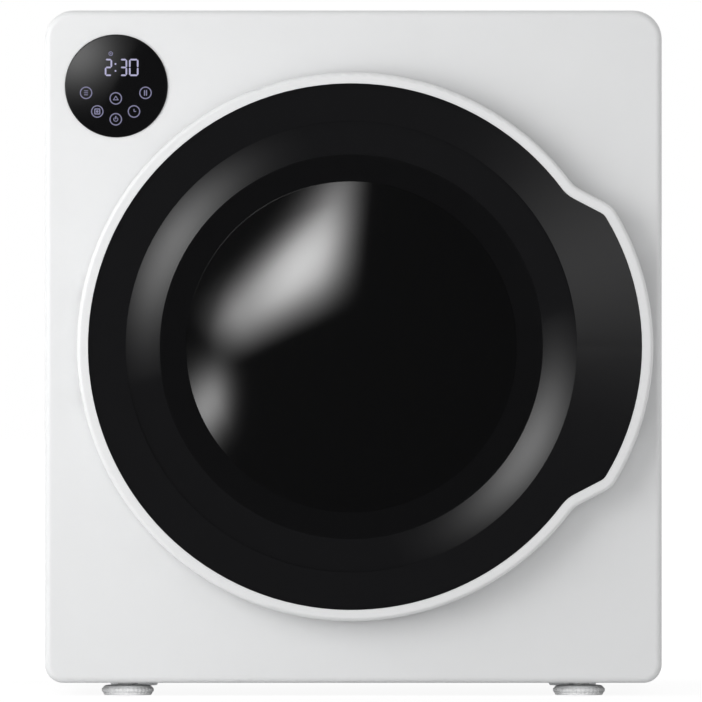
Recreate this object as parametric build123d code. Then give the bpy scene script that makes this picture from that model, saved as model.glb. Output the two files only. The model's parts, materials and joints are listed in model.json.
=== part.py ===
from build123d import *
import math
import os

# Front-loading compact tumble dryer. Millimetres, +Z up, +X right, the front faces -Y.
# The origin is on the floor, under the middle of the overall width and depth.

# Clearances
FIT = 0.2          # between pieces that are fastened together
AIR = 0.3          # between pieces of different bodies that seat on each other
RUNNING = 0.05     # radial, in a shaft or hinge bore

# Cabinet
CABINET_WIDTH = 600.0
CABINET_HEIGHT = 654.0
CABINET_DEPTH = 500.0
TOP_CORNER = 28.0
BOTTOM_CORNER = 18.0
FRONT_EDGE = 6.0
PANEL_WALL = 2.5
PANEL_SKIRT = 22.0
SHEET = 1.0
REAR_FLANGE = 12.0
BOTTOM_LIP = 17.0
BASE_RIM = 7.0
BASE_BEADS = (-150.0, -50.0, 50.0, 150.0)   # along the depth, about the middle
BASE_BEAD_LENGTH = 320.0
BASE_BEAD_WIDTH = 26.0
BASE_BEAD_RISE = 3.0
BASE_BEAD_SIDE = 90.0
BEAD_SLOPE = 40.0

# Feet
FOOT_HEIGHT = 12.5
FOOT_SIDE_INSET = 80.0
FOOT_INSET = 45.0
FOOT_PAD_R = 25.3
FOOT_PAD_HEIGHT = 10.1
FOOT_BULGE_LOW = 3.8
FOOT_BULGE_HIGH = 6.0
FOOT_BULGE = 2.6
FOOT_SHOULDER_DROP = 0.9
FOOT_NECK_R = 10.0
FOOT_STEM_R = 5.0
FOOT_STEM_LENGTH = 21.0
FOOT_SOCKET = 5.6
FOOT_NUT_R = 10.0
FOOT_NUT_HEIGHT = 10.0
FOOT_HEX = 17.0

# Door
DOOR_SHIFT_X = -2.0
DOOR_OVERLAP = 71.4     # how far the door's face reaches past the mouth
DOOR_DEPTH = 30.0
DOOR_GAP = 4.0
RIM_WIDTH = 11.0
RIM_EDGE = 4.0
RIM_BACK_EDGE = 2.0
RIM_LEDGE = 7.0
RIM_FLOOR = 4.0
RIM_OPENING_MARGIN = 16.0
LOBE_TIGHTER = 13.4     # how much the lobe's arc is tighter than the door's
LOBE_OUT = 26.6
LOBE_ROOT_ANGLE = 35.2
LOBE_TIP_ANGLE = 27.6
LOBE_ROOT_FILLET = 35.0
LOBE_TIP_FILLET = 13.0
GRIP_MARGIN = 54.0
GRIP_HALF = 84.0
GRIP_DEPTH = 13.0

# Door face trim and window
TRIM_SINK = 1.0
TRIM_WALL = 3.0
TRIM_CROWN = 1.8
TRIM_LAP = 1.0
STEP_MARGIN = 35.0
STEP_DEPTH = 1.6
BEVEL_MARGIN = 2.0
BEVEL_DEPTH = 9.0
WINDOW_MARGIN = 23.6
WINDOW_CROWN = 11.0
WINDOW_WALL = 4.0
WINDOW_FLANGE = 10.0
WINDOW_FLANGE_WALL = 3.0

# Door liner and gasket
LINER_WALL = 2.5
LINER_FLANGE = 14.0
PLUG_CLEARANCE = 6.0
PLUG_DEPTH = 15.5
PLUG_TAPER = 1.5
PLUG_RING = 28.0
GASKET_WIDTH = 7.0
GASKET_INSET = 3.0
GASKET_NOSE = 1.3

# Mouth, drum and what seats them
MOUTH_RADIUS = 184.0
MOUTH_WALL = 2.5
MOUTH_FLANGE = 12.0
MOUTH_EDGE = 2.0
TUNNEL_END = 45.0
BULKHEAD_FRONT = 28.0
DRUM_SIDE_GAP = 35.0
DRUM_FLOOR_GAP = 62.0
DRUM_WALL = 0.8
DRUM_FRONT = 36.0
DRUM_LENGTH = 363.0
DRUM_LIP = 8.0
DRUM_BEAD = 1.5
DRUM_BEAD_WIDTH = 5.0
BEAD_MARGIN = 1.0
FELT_WALL = 3.2
SEAT_WALL = 2.0
SEAT_LENGTH = 20.0
SEAT_MARGIN = 10.0
REAR_SEAL_LENGTH = 10.0
REAR_SEAL_WIDTH = 11.0
BAFFLE_COUNT = 3
BAFFLE_HEIGHT = 48.0
BAFFLE_FOOT = 74.0
BAFFLE_CREST = 15.0
BAFFLE_EDGE = 12.0
BAFFLE_LEDGE = 7.5
BAFFLE_END_GAP = 14.0
BAFFLE_WALL = 2.5
AIR_SLOTS = 24
AIR_SLOT_LENGTH = 34.0
AIR_SLOT_WIDTH = 5.0
AIR_SLOT_RADIUS = 108.0
HUB_RADIUS = 52.0
HUB_WALL = 4.0
SHAFT_RADIUS = 10.0
SHAFT_LENGTH = 34.0
BEARING_RADIUS = 22.0
BEARING_FLANGE = 36.0
BEARING_WALL = 5.0

# Belt drive
BELT_PLANE = 257.0
BELT_WIDTH = 8.0
BELT_WALL = 2.5
PULLEY_RADIUS = 10.0
PULLEY_FLANGE = 3.5
PULLEY_WIDTH = 13.0
PULLEY_LIP = 1.0
MOTOR_HEIGHT = 80.2
MOTOR_RADIUS = 48.0
MOTOR_LENGTH = 112.0
MOTOR_START = 104.0
MOTOR_BELL = 16.0
MOTOR_BELL_R = 39.4
MOTOR_SHAFT_R = 6.0
IDLER_RADIUS = 16.0
IDLER_WIDTH = 11.0
IDLER_AXLE_R = 4.0
IDLER_SHARE = 0.68
IDLER_ARM_LENGTH = 56.0
PIVOT_HEIGHT = 17.0
IDLER_ARM_WIDTH = 18.0
IDLER_ARM_WALL = 3.0
PIVOT_RADIUS = 5.0
SPRING_WIRE = 1.2
SPRING_TURNS = 3
SPRING_LAP = 0.2
CRADLE_HALF = 38.4
CRADLE_INSET = 33.6
CRADLE_DROP = 16.0
BRACKET_FOOT = 2.0
POST_HALF = 10.0
CAPACITOR_RADIUS = 16.0
CAPACITOR_HEIGHT = 48.0
CAPACITOR_SIDE = 96.0
CAPACITOR_BEHIND = 112.0

# Fan, ducts and exhaust
FAN_RADIUS = 54.0
FAN_GAP = 4.0
FAN_FRONT_GAP = 8.0
FAN_DEPTH = 36.0
FAN_BLADES = 18
FAN_BLADE_ANGLE = 35.0
FAN_HUB_R = 12.0
FAN_HUB_LENGTH = 18.0
FAN_WALL = 2.0
FAN_DRUM_GAP = 3.0
SCROLL_DEPTH = 56.0
INLET_RADIUS = 38.0
SHAFT_HOLE_GAP = 2.0
DUCT_FOOT_GAP = 2.0
DUCT_DRUM_GAP = 4.0
DUCT_WALL = 2.0
EXHAUST_RADIUS = 50.0
EXHAUST_HEIGHT = 87.7
COLLAR_LENGTH = 34.0
COLLAR_WALL = 2.0
COLLAR_FLANGE = 9.0
COLLAR_SCREWS = 3

# Lint filter
FILTER_HALF_WIDTH = 62.0
FILTER_WALL = 10.6
FILTER_BOTTOM = 60.0
FILTER_BORDER = 7.0
FILTER_GRIP_WIDTH = 44.0
FILTER_GRIP_DEPTH = 4.5
SCREEN_WALL = 0.8

# Heater
HEATER_RADIUS = 140.0
HEATER_DEPTH = 52.0
HEATER_INTAKE_R = 62.0
RING_BEAD_RADIUS = 190.0
RING_BEAD_WIDTH = 26.0
RING_BEAD_RISE = 3.0
RING_BEAD_SLOPE = 5.0
COIL_RADII = (92.0, 120.0)
COIL_WIRE = 4.0
COIL_BAR_HALF = 4.0
COIL_FRAME_WALL = 2.0
THERMOSTAT_BASE_R = 12.0
THERMOSTAT_BASE = 4.0
THERMOSTAT_R = 8.0
THERMOSTAT_HEIGHT = 12.0

# Hinge
HINGE_AXIS_INSET = 14.0
HINGE_AXIS_REACH = 21.0
HINGE_RELIEF = 18.3
RELIEF_HALF = 128.0
POCKET_GAP = 1.5
LUG_GAP = 0.8
HINGE_PIN_R = 3.0
KNUCKLE_RADIUS = 6.5
KNUCKLE_HALF = 47.5
LUG_WALL = 4.0
LUG_RADIUS = 6.0
LUG_ARM = 8.2
BRACKET_WALL = 2.0
BRACKET_WIDTH = 45.0
BRACKET_HALF = 60.0
BRACKET_SCREW_REACH = 31.5
BRACKET_SCREW_HALF = 10.0
LEAF_WALL = 3.0
LEAF_HALF = 40.0
LEAF_REACH = 34.0
LEAF_SCREW_REACH = 26.0
LEAF_SCREW_HALF = 30.0

# Catch and switch
MAGNET_MARGIN = 30.0
MAGNET_WIDTH = 13.0
MAGNET_HEIGHT = 30.0
MAGNET_DEPTH = 14.0
MAGNET_EAR = 5.0
STRIKE_WALL = 1.5
SWITCH_ANGLE = -22.0
PLUNGER_RADIUS = 3.0
PLUNGER_STEM = 12.0
PLUNGER_EDGE = 1.0
PLUNGER_OVERTRAVEL = 2.0
SWITCH_HALF_WIDTH = 9.0
SWITCH_HALF_HEIGHT = 12.0
SWITCH_BACK = 6.0

# Control
CONTROL_INSET = 69.5
CONTROL_DROP = 73.5
LENS_RADIUS = 50.0
LENS_WALL = 3.5
LENS_PROUD = 1.5
LENS_EDGE = 0.8
CONTROL_DEPTH = 15.0
CUP_WALL = 2.0
CUP_LEDGE = 4.0
BOARD_DEPTH = 7.5
BOARD_WALL = 1.6
DISPLAY_X = (-14.8, 22.2)
DISPLAY_Z = (5.5, 27.7)
DISPLAY_DEPTH = 3.5

# Back panel
VENT_ROWS = 7
VENT_WIDTH = 46.0
VENT_HEIGHT = 4.0
VENT_PITCH = 12.0
VENT_COLUMNS = (-60.0, 0.0, 60.0)
DISH_RADIUS = 165.0
DISH_RISE = 5.0
DISH_SLOPE = 9.0
WALL_NUT_SPACING_X = 400.0
WALL_NUT_SPACING_Z = 200.0
WALL_NUT_R = 3.3
WALL_NUT_OUTER_R = 7.0
WALL_NUT_LENGTH = 8.0
GLAND_INSET = 95.0
GLAND_Z = 70.0
GLAND_BORE_R = 4.5
GLAND_RADIUS = 10.0
GLAND_LENGTH = 15.0
GLAND_LIP = 2.0

# Screws
SCREW_HEAD_R = 3.5
SCREW_HEAD = 1.5
SCREW_SHANK_R = 1.6
SCREW_LENGTH = 7.0
DOOR_SCREWS = 6
BACK_SCREW_END = 98.0
BACK_SCREW_TOP_X = 150.0

# Planes from front to back, and the main centres
OVERALL_DEPTH = DOOR_DEPTH + DOOR_GAP + CABINET_DEPTH + COLLAR_LENGTH
DOOR_FACE = -OVERALL_DEPTH / 2
DOOR_REAR = DOOR_FACE + DOOR_DEPTH
FRONT = DOOR_REAR + DOOR_GAP
PANEL_BACK = FRONT + PANEL_WALL
BACK = FRONT + CABINET_DEPTH
SHELL_BACK = BACK - SHEET
BULKHEAD = FRONT + BULKHEAD_FRONT
BULKHEAD_BACK = BULKHEAD + SHEET
DRUM_NOSE = FRONT + DRUM_FRONT
DRUM_TAIL = DRUM_NOSE + DRUM_LENGTH
REAR_BULKHEAD = DRUM_TAIL + AIR + REAR_SEAL_LENGTH
REAR_BULKHEAD_BACK = REAR_BULKHEAD + SHEET
CABINET_FLOOR = FOOT_HEIGHT
CABINET_TOP = CABINET_FLOOR + CABINET_HEIGHT
BASE_FLOOR = CABINET_FLOOR + SHEET
BASE_TOP = BASE_FLOOR + SHEET
DOOR_Z = CABINET_FLOOR + CABINET_HEIGHT / 2
DRUM_RADIUS = min(CABINET_WIDTH / 2 - DRUM_SIDE_GAP, CABINET_HEIGHT / 2 - DRUM_FLOOR_GAP)
BEAD_RADIUS = DRUM_RADIUS + DRUM_BEAD
DRUM_MOUTH_R = MOUTH_RADIUS + MOUTH_WALL + SEAT_MARGIN + FELT_WALL + AIR
BELT_Y = FRONT + BELT_PLANE

# Door radii, all about the mouth's axis
DOOR_RADIUS = MOUTH_RADIUS + DOOR_OVERLAP
LOBE_RADIUS = DOOR_RADIUS - LOBE_TIGHTER
LOBE_REACH = DOOR_RADIUS + LOBE_OUT
GRIP_RADIUS = MOUTH_RADIUS + GRIP_MARGIN
RIM_OPENING_R = MOUTH_RADIUS + RIM_OPENING_MARGIN
STEP_RADIUS = MOUTH_RADIUS + STEP_MARGIN
BEVEL_RADIUS = MOUTH_RADIUS + BEVEL_MARGIN
WINDOW_RADIUS = MOUTH_RADIUS - WINDOW_MARGIN
MAGNET_RADIUS = MOUTH_RADIUS + MAGNET_MARGIN

# Door section, from its face back
TRIM_FACE = DOOR_FACE + TRIM_SINK
TRIM_BACK = TRIM_FACE + TRIM_WALL
BEVEL_TOP = TRIM_FACE + STEP_DEPTH
BEVEL_FLOOR = BEVEL_TOP + BEVEL_DEPTH
WINDOW_SEAT = BEVEL_FLOOR + TRIM_WALL
WINDOW_BACK = WINDOW_SEAT + WINDOW_FLANGE_WALL
RIM_INSIDE = DOOR_REAR - RIM_FLOOR
GRIP_BACK = DOOR_REAR - GRIP_DEPTH
PLUG_RADIUS = MOUTH_RADIUS - PLUG_CLEARANCE
PLUG_END = DOOR_REAR + PLUG_DEPTH
HINGE_X = DOOR_SHIFT_X - DOOR_RADIUS - RIM_WIDTH + HINGE_AXIS_INSET
HINGE_Y = FRONT - HINGE_AXIS_REACH
BRACKET_FACE = FRONT - BRACKET_WALL

# Drive centres
FAN_HOUSING_R = FAN_RADIUS + FAN_GAP + FAN_WALL
MOTOR_REACH = BEAD_RADIUS + FAN_DRUM_GAP + FAN_HOUSING_R
MOTOR_Z = CABINET_FLOOR + MOTOR_HEIGHT
MOTOR_ANGLE = -math.degrees(math.asin((DOOR_Z - MOTOR_Z) / MOTOR_REACH))
MOTOR_X = DOOR_SHIFT_X + MOTOR_REACH * math.cos(math.radians(MOTOR_ANGLE))
EXHAUST_REACH = BEAD_RADIUS + FAN_DRUM_GAP + EXHAUST_RADIUS
EXHAUST_Z = CABINET_FLOOR + EXHAUST_HEIGHT
EXHAUST_X = DOOR_SHIFT_X - math.sqrt(EXHAUST_REACH ** 2 - (DOOR_Z - EXHAUST_Z) ** 2)
DUCT_FLOOR = FOOT_PAD_HEIGHT - FOOT_SOCKET + AIR + FOOT_STEM_LENGTH + DUCT_FOOT_GAP
DUCT_CEILING = DOOR_Z - BEAD_RADIUS - DUCT_DRUM_GAP
SCROLL_BACK = BULKHEAD_BACK + SCROLL_DEPTH
SCROLL_LEFT = MOTOR_X - FAN_HOUSING_R - FAN_WALL
CONTROL_X = CONTROL_INSET - CABINET_WIDTH / 2
CONTROL_Z = CABINET_TOP - CONTROL_DROP
GLAND_X = CABINET_WIDTH / 2 - GLAND_INSET


def polar(radius, degrees, x=0.0, z=0.0):
    """A point at a radius and an angle round (x, z)."""
    angle = math.radians(degrees)
    return (x + radius * math.cos(angle), z + radius * math.sin(angle))


def at_drum(shape):
    """A shape drawn round the Y axis, moved to the axis of door and drum."""
    return Pos(DOOR_SHIFT_X, 0, DOOR_Z) * shape


def slab(outline, front, back):
    """An outline drawn in X and Z, filled from y=front to y=back."""
    return extrude(Plane.XZ.offset(-back) * outline, amount=back - front)


def rod(radius, front, back, x=0.0, z=0.0):
    return slab(Pos(x, z) * Circle(radius), front, back)


def tube(outer, inner, front, back, x=0.0, z=0.0):
    return slab(Pos(x, z) * Circle(outer) - Pos(x, z) * Circle(inner), front, back)


def box(x_range, y_range, z_range):
    """A block from its three ranges."""
    sizes = [high - low for low, high in (x_range, y_range, z_range)]
    middle = [(low + high) / 2 for low, high in (x_range, y_range, z_range)]
    return Pos(*middle) * Box(*sizes)


def post(radius, bottom, top, x, y):
    """An upright cylinder."""
    return Pos(x, y, (bottom + top) / 2) * Cylinder(radius, top - bottom)


def turned(points):
    """A closed (radius, y) profile turned round the Y axis."""
    return revolve(make_face(Polyline(*points, close=True)), Axis.Y)


def cabinet_outline(inset=0.0):
    """The cabinet seen from the front, with larger radii at the top."""
    middle = CABINET_FLOOR + CABINET_HEIGHT / 2
    shape = Pos(0, middle) * Rectangle(CABINET_WIDTH, CABINET_HEIGHT)
    shape = fillet(shape.vertices().group_by(Axis.Y)[0], BOTTOM_CORNER)
    shape = fillet(shape.vertices().group_by(Axis.Y)[-1], TOP_CORNER)
    return offset(shape, -inset) if inset else shape


def door_outline(grow=0.0):
    """The round door with its grip lobe on the right, about the door's centre."""
    lobe_centre = LOBE_REACH - LOBE_RADIUS
    tip_angle = math.radians(LOBE_TIP_ANGLE)
    across = lobe_centre * math.sin(tip_angle)
    tip_reach = lobe_centre * math.cos(tip_angle) + math.sqrt(LOBE_RADIUS ** 2 - across ** 2)
    root_up, root_down = (polar(DOOR_RADIUS, side * LOBE_ROOT_ANGLE) for side in (1, -1))
    tip_up, tip_down = (polar(tip_reach, side * LOBE_TIP_ANGLE) for side in (1, -1))
    shape = make_face([
        ThreePointArc(root_up, (-DOOR_RADIUS, 0), root_down),
        Line(root_down, tip_down),
        ThreePointArc(tip_down, (LOBE_REACH, 0), tip_up),
        Line(tip_up, root_up),
    ])
    shape = fillet(shape.vertices().group_by(Axis.X)[-1], LOBE_TIP_FILLET)
    corners = shape.vertices().filter_by(lambda corner: abs(corner.X - root_up[0]) < FIT)
    shape = fillet(corners, LOBE_ROOT_FILLET)
    return offset(shape, grow) if grow else shape


def screw(x, y, z, length=SCREW_LENGTH):
    """A pan-head screw driven along -Y, its head seated at y."""
    return rod(SCREW_HEAD_R, y, y + SCREW_HEAD, x, z) + rod(SCREW_SHANK_R, y - length, y, x, z)


def screw_holes(points, front, back):
    """Clearance holes for screws at (x, z) points."""
    return [rod(SCREW_SHANK_R + RUNNING, front, back, x, z) for x, z in points]


def door_screw_points():
    """Where the liner is screwed to the rim, in door coordinates."""
    radius = RIM_OPENING_R + LINER_FLANGE / 2
    step = 360 / DOOR_SCREWS
    return [polar(radius, step / 2 + step * index) for index in range(DOOR_SCREWS)]


def leaf_screw_points():
    """Where the hinge leaf is screwed to the rim's floor, in door coordinates."""
    x = HINGE_X - DOOR_SHIFT_X + LEAF_SCREW_REACH
    return [(x, -LEAF_SCREW_HALF), (x, LEAF_SCREW_HALF)]


def bracket_screw_points():
    """Where the hinge bracket is screwed to the front panel."""
    x = HINGE_X + BRACKET_SCREW_REACH
    return [(x, DOOR_Z - BRACKET_SCREW_HALF), (x, DOOR_Z + BRACKET_SCREW_HALF)]


def back_screw_points():
    """Where the back panel is screwed to the cabinet's rear flange."""
    edge = SHEET + REAR_FLANGE / 2
    left = CABINET_WIDTH / 2 - edge
    rows = [CABINET_FLOOR + BACK_SCREW_END, DOOR_Z, CABINET_TOP - BACK_SCREW_END]
    sides = [(side * left, z) for side in (-1, 1) for z in rows]
    top = [(side * BACK_SCREW_TOP_X, CABINET_TOP - edge) for side in (-1, 1)]
    return sides + top


def collar_screw_points():
    """Where the exhaust collar's flange is screwed to the back panel."""
    radius = EXHAUST_RADIUS + COLLAR_FLANGE / 2
    step = 360 / COLLAR_SCREWS
    return [polar(radius, step / 4 + step * index, EXHAUST_X, EXHAUST_Z) for index in range(COLLAR_SCREWS)]


# ---------------------------------------------------------------- cabinet

def cabinet_shell():
    """The painted wrapper: both sides and the top, with lips under the base and a rear flange."""
    start = FRONT + PANEL_SKIRT + AIR
    wrap = slab(cabinet_outline(), start, SHELL_BACK) - slab(cabinet_outline(SHEET), start, SHELL_BACK)
    flange = slab(cabinet_outline(), SHELL_BACK - SHEET, SHELL_BACK)
    flange -= slab(cabinet_outline(SHEET + REAR_FLANGE), SHELL_BACK - SHEET, SHELL_BACK)
    half = CABINET_WIDTH / 2 - BOTTOM_CORNER - BOTTOM_LIP
    opening = box((-half, half), (start, SHELL_BACK - SHEET), (0, BASE_FLOOR))
    shell = wrap + flange - opening
    return shell - screw_holes(back_screw_points(), SHELL_BACK - SHEET, SHELL_BACK)


def front_panel():
    """The front moulding, with a rolled mouth, the control seat and the pockets behind the door."""
    panel = slab(cabinet_outline(), FRONT, FRONT + PANEL_SKIRT)
    panel = fillet(panel.faces().sort_by(Axis.Y)[0].edges(), FRONT_EDGE)
    panel -= slab(cabinet_outline(PANEL_WALL), PANEL_BACK, FRONT + PANEL_SKIRT)
    mouth_outer = MOUTH_RADIUS + MOUTH_WALL
    panel += at_drum(rod(mouth_outer, FRONT, FRONT + MOUTH_FLANGE))
    mouth = at_drum(rod(MOUTH_RADIUS, FRONT, FRONT + MOUTH_FLANGE))
    panel -= mouth
    rolled = panel.edges().filter_by(GeomType.CIRCLE).filter_by(
        lambda edge: abs(edge.radius - MOUTH_RADIUS) < FIT and abs(edge.center().Y - FRONT) < FIT)
    panel = fillet(rolled, MOUTH_EDGE)
    seat_depth = LENS_WALL - LENS_PROUD
    panel += rod(LENS_RADIUS + PANEL_WALL, FRONT + PANEL_WALL / 2, PANEL_BACK + LENS_WALL, CONTROL_X, CONTROL_Z)
    panel -= rod(LENS_RADIUS + FIT, FRONT, FRONT + seat_depth, CONTROL_X, CONTROL_Z)
    panel -= rod(LENS_RADIUS - LENS_WALL, FRONT, PANEL_BACK + LENS_WALL, CONTROL_X, CONTROL_Z)
    panel -= at_drum(magnet_block(FIT))
    switch_x, switch_z = polar(MAGNET_RADIUS, SWITCH_ANGLE)
    panel -= at_drum(rod(PLUNGER_RADIUS + FIT, FRONT, PANEL_BACK, switch_x, switch_z))
    return panel - screw_holes(bracket_screw_points(), FRONT, PANEL_BACK)


def pressed_dish():
    """The round pressing that gives the back panel's middle its stiffness."""
    rise = DISH_RISE
    crest = DISH_RADIUS - DISH_SLOPE
    return turned([
        (0, SHELL_BACK + rise),
        (crest, SHELL_BACK + rise),
        (DISH_RADIUS, SHELL_BACK),
        (DISH_RADIUS, BACK),
        (crest, BACK + rise),
        (0, BACK + rise),
    ])


def back_panel():
    """The rear cover: a pressed dish with vents, holes for collar and gland, and nuts for a wall bracket."""
    panel = slab(cabinet_outline(SHEET), SHELL_BACK, BACK) - at_drum(rod(DISH_RADIUS, SHELL_BACK, BACK))
    panel += at_drum(pressed_dish())
    nuts = [(side * WALL_NUT_SPACING_X / 2, DOOR_Z + up * WALL_NUT_SPACING_Z / 2)
            for side in (-1, 1) for up in (-1, 1)]
    for x, z in nuts:
        panel += rod(WALL_NUT_OUTER_R, SHELL_BACK - WALL_NUT_LENGTH, SHELL_BACK, x, z)
        panel -= rod(WALL_NUT_R, SHELL_BACK - WALL_NUT_LENGTH, BACK, x, z)
    for x in VENT_COLUMNS:
        for row in range(VENT_ROWS):
            z = DOOR_Z + (row - (VENT_ROWS - 1) / 2) * VENT_PITCH
            slot = Pos(x + DOOR_SHIFT_X, z) * Rectangle(VENT_WIDTH, VENT_HEIGHT)
            panel -= slab(slot, SHELL_BACK, BACK + DISH_RISE)
    panel -= rod(EXHAUST_RADIUS - COLLAR_WALL, SHELL_BACK, BACK, EXHAUST_X, EXHAUST_Z)
    panel -= rod(GLAND_RADIUS + FIT, SHELL_BACK, BACK, GLAND_X, GLAND_Z)
    return panel - screw_holes(back_screw_points() + collar_screw_points(), SHELL_BACK, BACK)


def foot_places():
    """The four feet, named by where they stand."""
    near = FRONT + FOOT_INSET
    far = BACK - FOOT_INSET
    half = CABINET_WIDTH / 2 - FOOT_SIDE_INSET
    return {
        "front_left": (-half, near),
        "front_right": (half, near),
        "rear_left": (-half, far),
        "rear_right": (half, far),
    }


def base_plate():
    """The pressed base pan, with a weld nut over each foot."""
    half = CABINET_WIDTH / 2 - BOTTOM_CORNER
    front = FRONT + PANEL_SKIRT + AIR
    back = SHELL_BACK - SHEET - FIT
    pan = box((-half, half), (front, back), (BASE_FLOOR, BASE_FLOOR + BASE_RIM))
    pan -= box((-half + SHEET, half - SHEET), (front + SHEET, back - SHEET), (BASE_TOP, BASE_FLOOR + BASE_RIM))
    bead_outline = SlotOverall(BASE_BEAD_LENGTH, BASE_BEAD_WIDTH)
    bead = extrude(bead_outline, amount=SHEET + BASE_BEAD_RISE, taper=BEAD_SLOPE)
    for y in BASE_BEADS:
        pan += Pos(-BASE_BEAD_SIDE, y, BASE_FLOOR) * bead
        pan -= Pos(-BASE_BEAD_SIDE, y, BASE_FLOOR - SHEET) * bead
    for x, y in foot_places().values():
        pan += post(FOOT_NUT_R, BASE_TOP, BASE_TOP + FOOT_NUT_HEIGHT, x, y)
        pan -= post(FOOT_STEM_R + RUNNING, BASE_FLOOR, BASE_TOP + FOOT_NUT_HEIGHT, x, y)
    return pan


def bulkhead_outline():
    """The inside of the cabinet above the base pan's rim, on which the bulkheads stand."""
    foot = BASE_FLOOR + BASE_RIM + FIT
    return cabinet_outline(SHEET + FIT) - Pos(0, foot / 2) * Rectangle(CABINET_WIDTH, foot)


def front_bulkhead():
    """The front drum support, with a seat ring for the drum and the fan's inlet."""
    plate = slab(bulkhead_outline(), BULKHEAD, BULKHEAD_BACK)
    seat_outer = DRUM_MOUTH_R - AIR - FELT_WALL
    seat = rod(seat_outer, BULKHEAD, BULKHEAD_BACK + SEAT_LENGTH)
    bore = rod(seat_outer - SEAT_WALL, BULKHEAD_BACK, BULKHEAD_BACK + SEAT_LENGTH)
    hole = rod(MOUTH_RADIUS + MOUTH_WALL + FIT, BULKHEAD, BULKHEAD_BACK + SEAT_LENGTH)
    plate = plate + at_drum(seat) - at_drum(bore) - at_drum(hole)
    return plate - rod(INLET_RADIUS, BULKHEAD, BULKHEAD_BACK, MOTOR_X, MOTOR_Z)


def air_slots(front, back):
    """The ring of radial air slots that drum back and rear bulkhead share."""
    slot = Pos(AIR_SLOT_RADIUS, 0) * Rectangle(AIR_SLOT_LENGTH, AIR_SLOT_WIDTH)
    turn = 360 / AIR_SLOTS
    return [slab(Rot(0, 0, turn * index) * slot, front, back) for index in range(AIR_SLOTS)]


def ring_bead():
    """The profile of the rolled ring that stiffens the rear bulkhead, turned round the drum's axis."""
    inner = RING_BEAD_RADIUS - RING_BEAD_WIDTH / 2
    outer = RING_BEAD_RADIUS + RING_BEAD_WIDTH / 2
    front = [
        (inner, REAR_BULKHEAD),
        (inner + RING_BEAD_SLOPE, REAR_BULKHEAD + RING_BEAD_RISE),
        (outer - RING_BEAD_SLOPE, REAR_BULKHEAD + RING_BEAD_RISE),
        (outer, REAR_BULKHEAD),
    ]
    back = [(radius, y + SHEET) for radius, y in reversed(front)]
    return turned(front + back)


def rear_bulkhead():
    """The rear support plate, with a rolled ring, the hot air's slots, and holes for bearing and exhaust."""
    plate = slab(bulkhead_outline(), REAR_BULKHEAD, REAR_BULKHEAD_BACK)
    half = RING_BEAD_WIDTH / 2
    plate -= at_drum(tube(RING_BEAD_RADIUS + half, RING_BEAD_RADIUS - half, REAR_BULKHEAD, REAR_BULKHEAD_BACK))
    plate += at_drum(ring_bead())
    plate -= [at_drum(slot) for slot in air_slots(REAR_BULKHEAD, REAR_BULKHEAD_BACK)]
    plate -= at_drum(rod(BEARING_RADIUS + FIT, REAR_BULKHEAD, REAR_BULKHEAD_BACK))
    return plate - rod(EXHAUST_RADIUS + FIT, REAR_BULKHEAD, REAR_BULKHEAD_BACK, EXHAUST_X, EXHAUST_Z)


def mouth_tunnel():
    """The moulded ring that joins the panel's mouth to the drum, with the filter's slot."""
    front = FRONT + MOUTH_FLANGE + AIR
    ring = at_drum(tube(MOUTH_RADIUS + MOUTH_WALL, MOUTH_RADIUS, front, FRONT + TUNNEL_END))
    half = FILTER_HALF_WIDTH + AIR
    slot = box((DOOR_SHIFT_X - half, DOOR_SHIFT_X + half), filter_span(AIR), (0, DOOR_Z))
    return ring - slot


def front_felt_seal():
    """The felt on the seat ring, on which the drum's mouth slides."""
    outer = DRUM_MOUTH_R - AIR
    return at_drum(tube(outer, outer - FELT_WALL + FIT, BULKHEAD_BACK + FIT, BULKHEAD_BACK + SEAT_LENGTH))


def rear_felt_seal():
    """The felt between the drum's tail and the rear bulkhead."""
    outer = DRUM_RADIUS
    return at_drum(tube(outer, outer - REAR_SEAL_WIDTH, DRUM_TAIL + AIR, REAR_BULKHEAD))


def exhaust_collar():
    """The spigot that the exhaust hose slips over."""
    pipe = tube(EXHAUST_RADIUS, EXHAUST_RADIUS - COLLAR_WALL, BACK, BACK + COLLAR_LENGTH, EXHAUST_X, EXHAUST_Z)
    flange = tube(EXHAUST_RADIUS + COLLAR_FLANGE, EXHAUST_RADIUS - COLLAR_WALL, BACK,
                  BACK + COLLAR_WALL, EXHAUST_X, EXHAUST_Z)
    return pipe + flange - screw_holes(collar_screw_points(), BACK, BACK + COLLAR_WALL)


def cord_gland():
    """The bush in the back panel that a mains lead passes through."""
    front = BACK - GLAND_LENGTH / 2
    body = rod(GLAND_RADIUS, front, front + GLAND_LENGTH, GLAND_X, GLAND_Z)
    body += rod(GLAND_RADIUS + GLAND_LIP, BACK, BACK + GLAND_LIP, GLAND_X, GLAND_Z)
    return body - rod(GLAND_BORE_R, front, front + GLAND_LENGTH, GLAND_X, GLAND_Z)


def cabinet_screws():
    """The screws of the back panel and of the exhaust collar."""
    panel = [screw(x, BACK, z) for x, z in back_screw_points()]
    collar = [screw(x, BACK + COLLAR_WALL, z) for x, z in collar_screw_points()]
    return panel + collar


# ---------------------------------------------------------------- control

def control_lens():
    """The touch control's round window."""
    face = FRONT - LENS_PROUD
    lens = rod(LENS_RADIUS, face, face + LENS_WALL, CONTROL_X, CONTROL_Z)
    return fillet(lens.faces().sort_by(Axis.Y)[0].edges(), LENS_EDGE)


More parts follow.
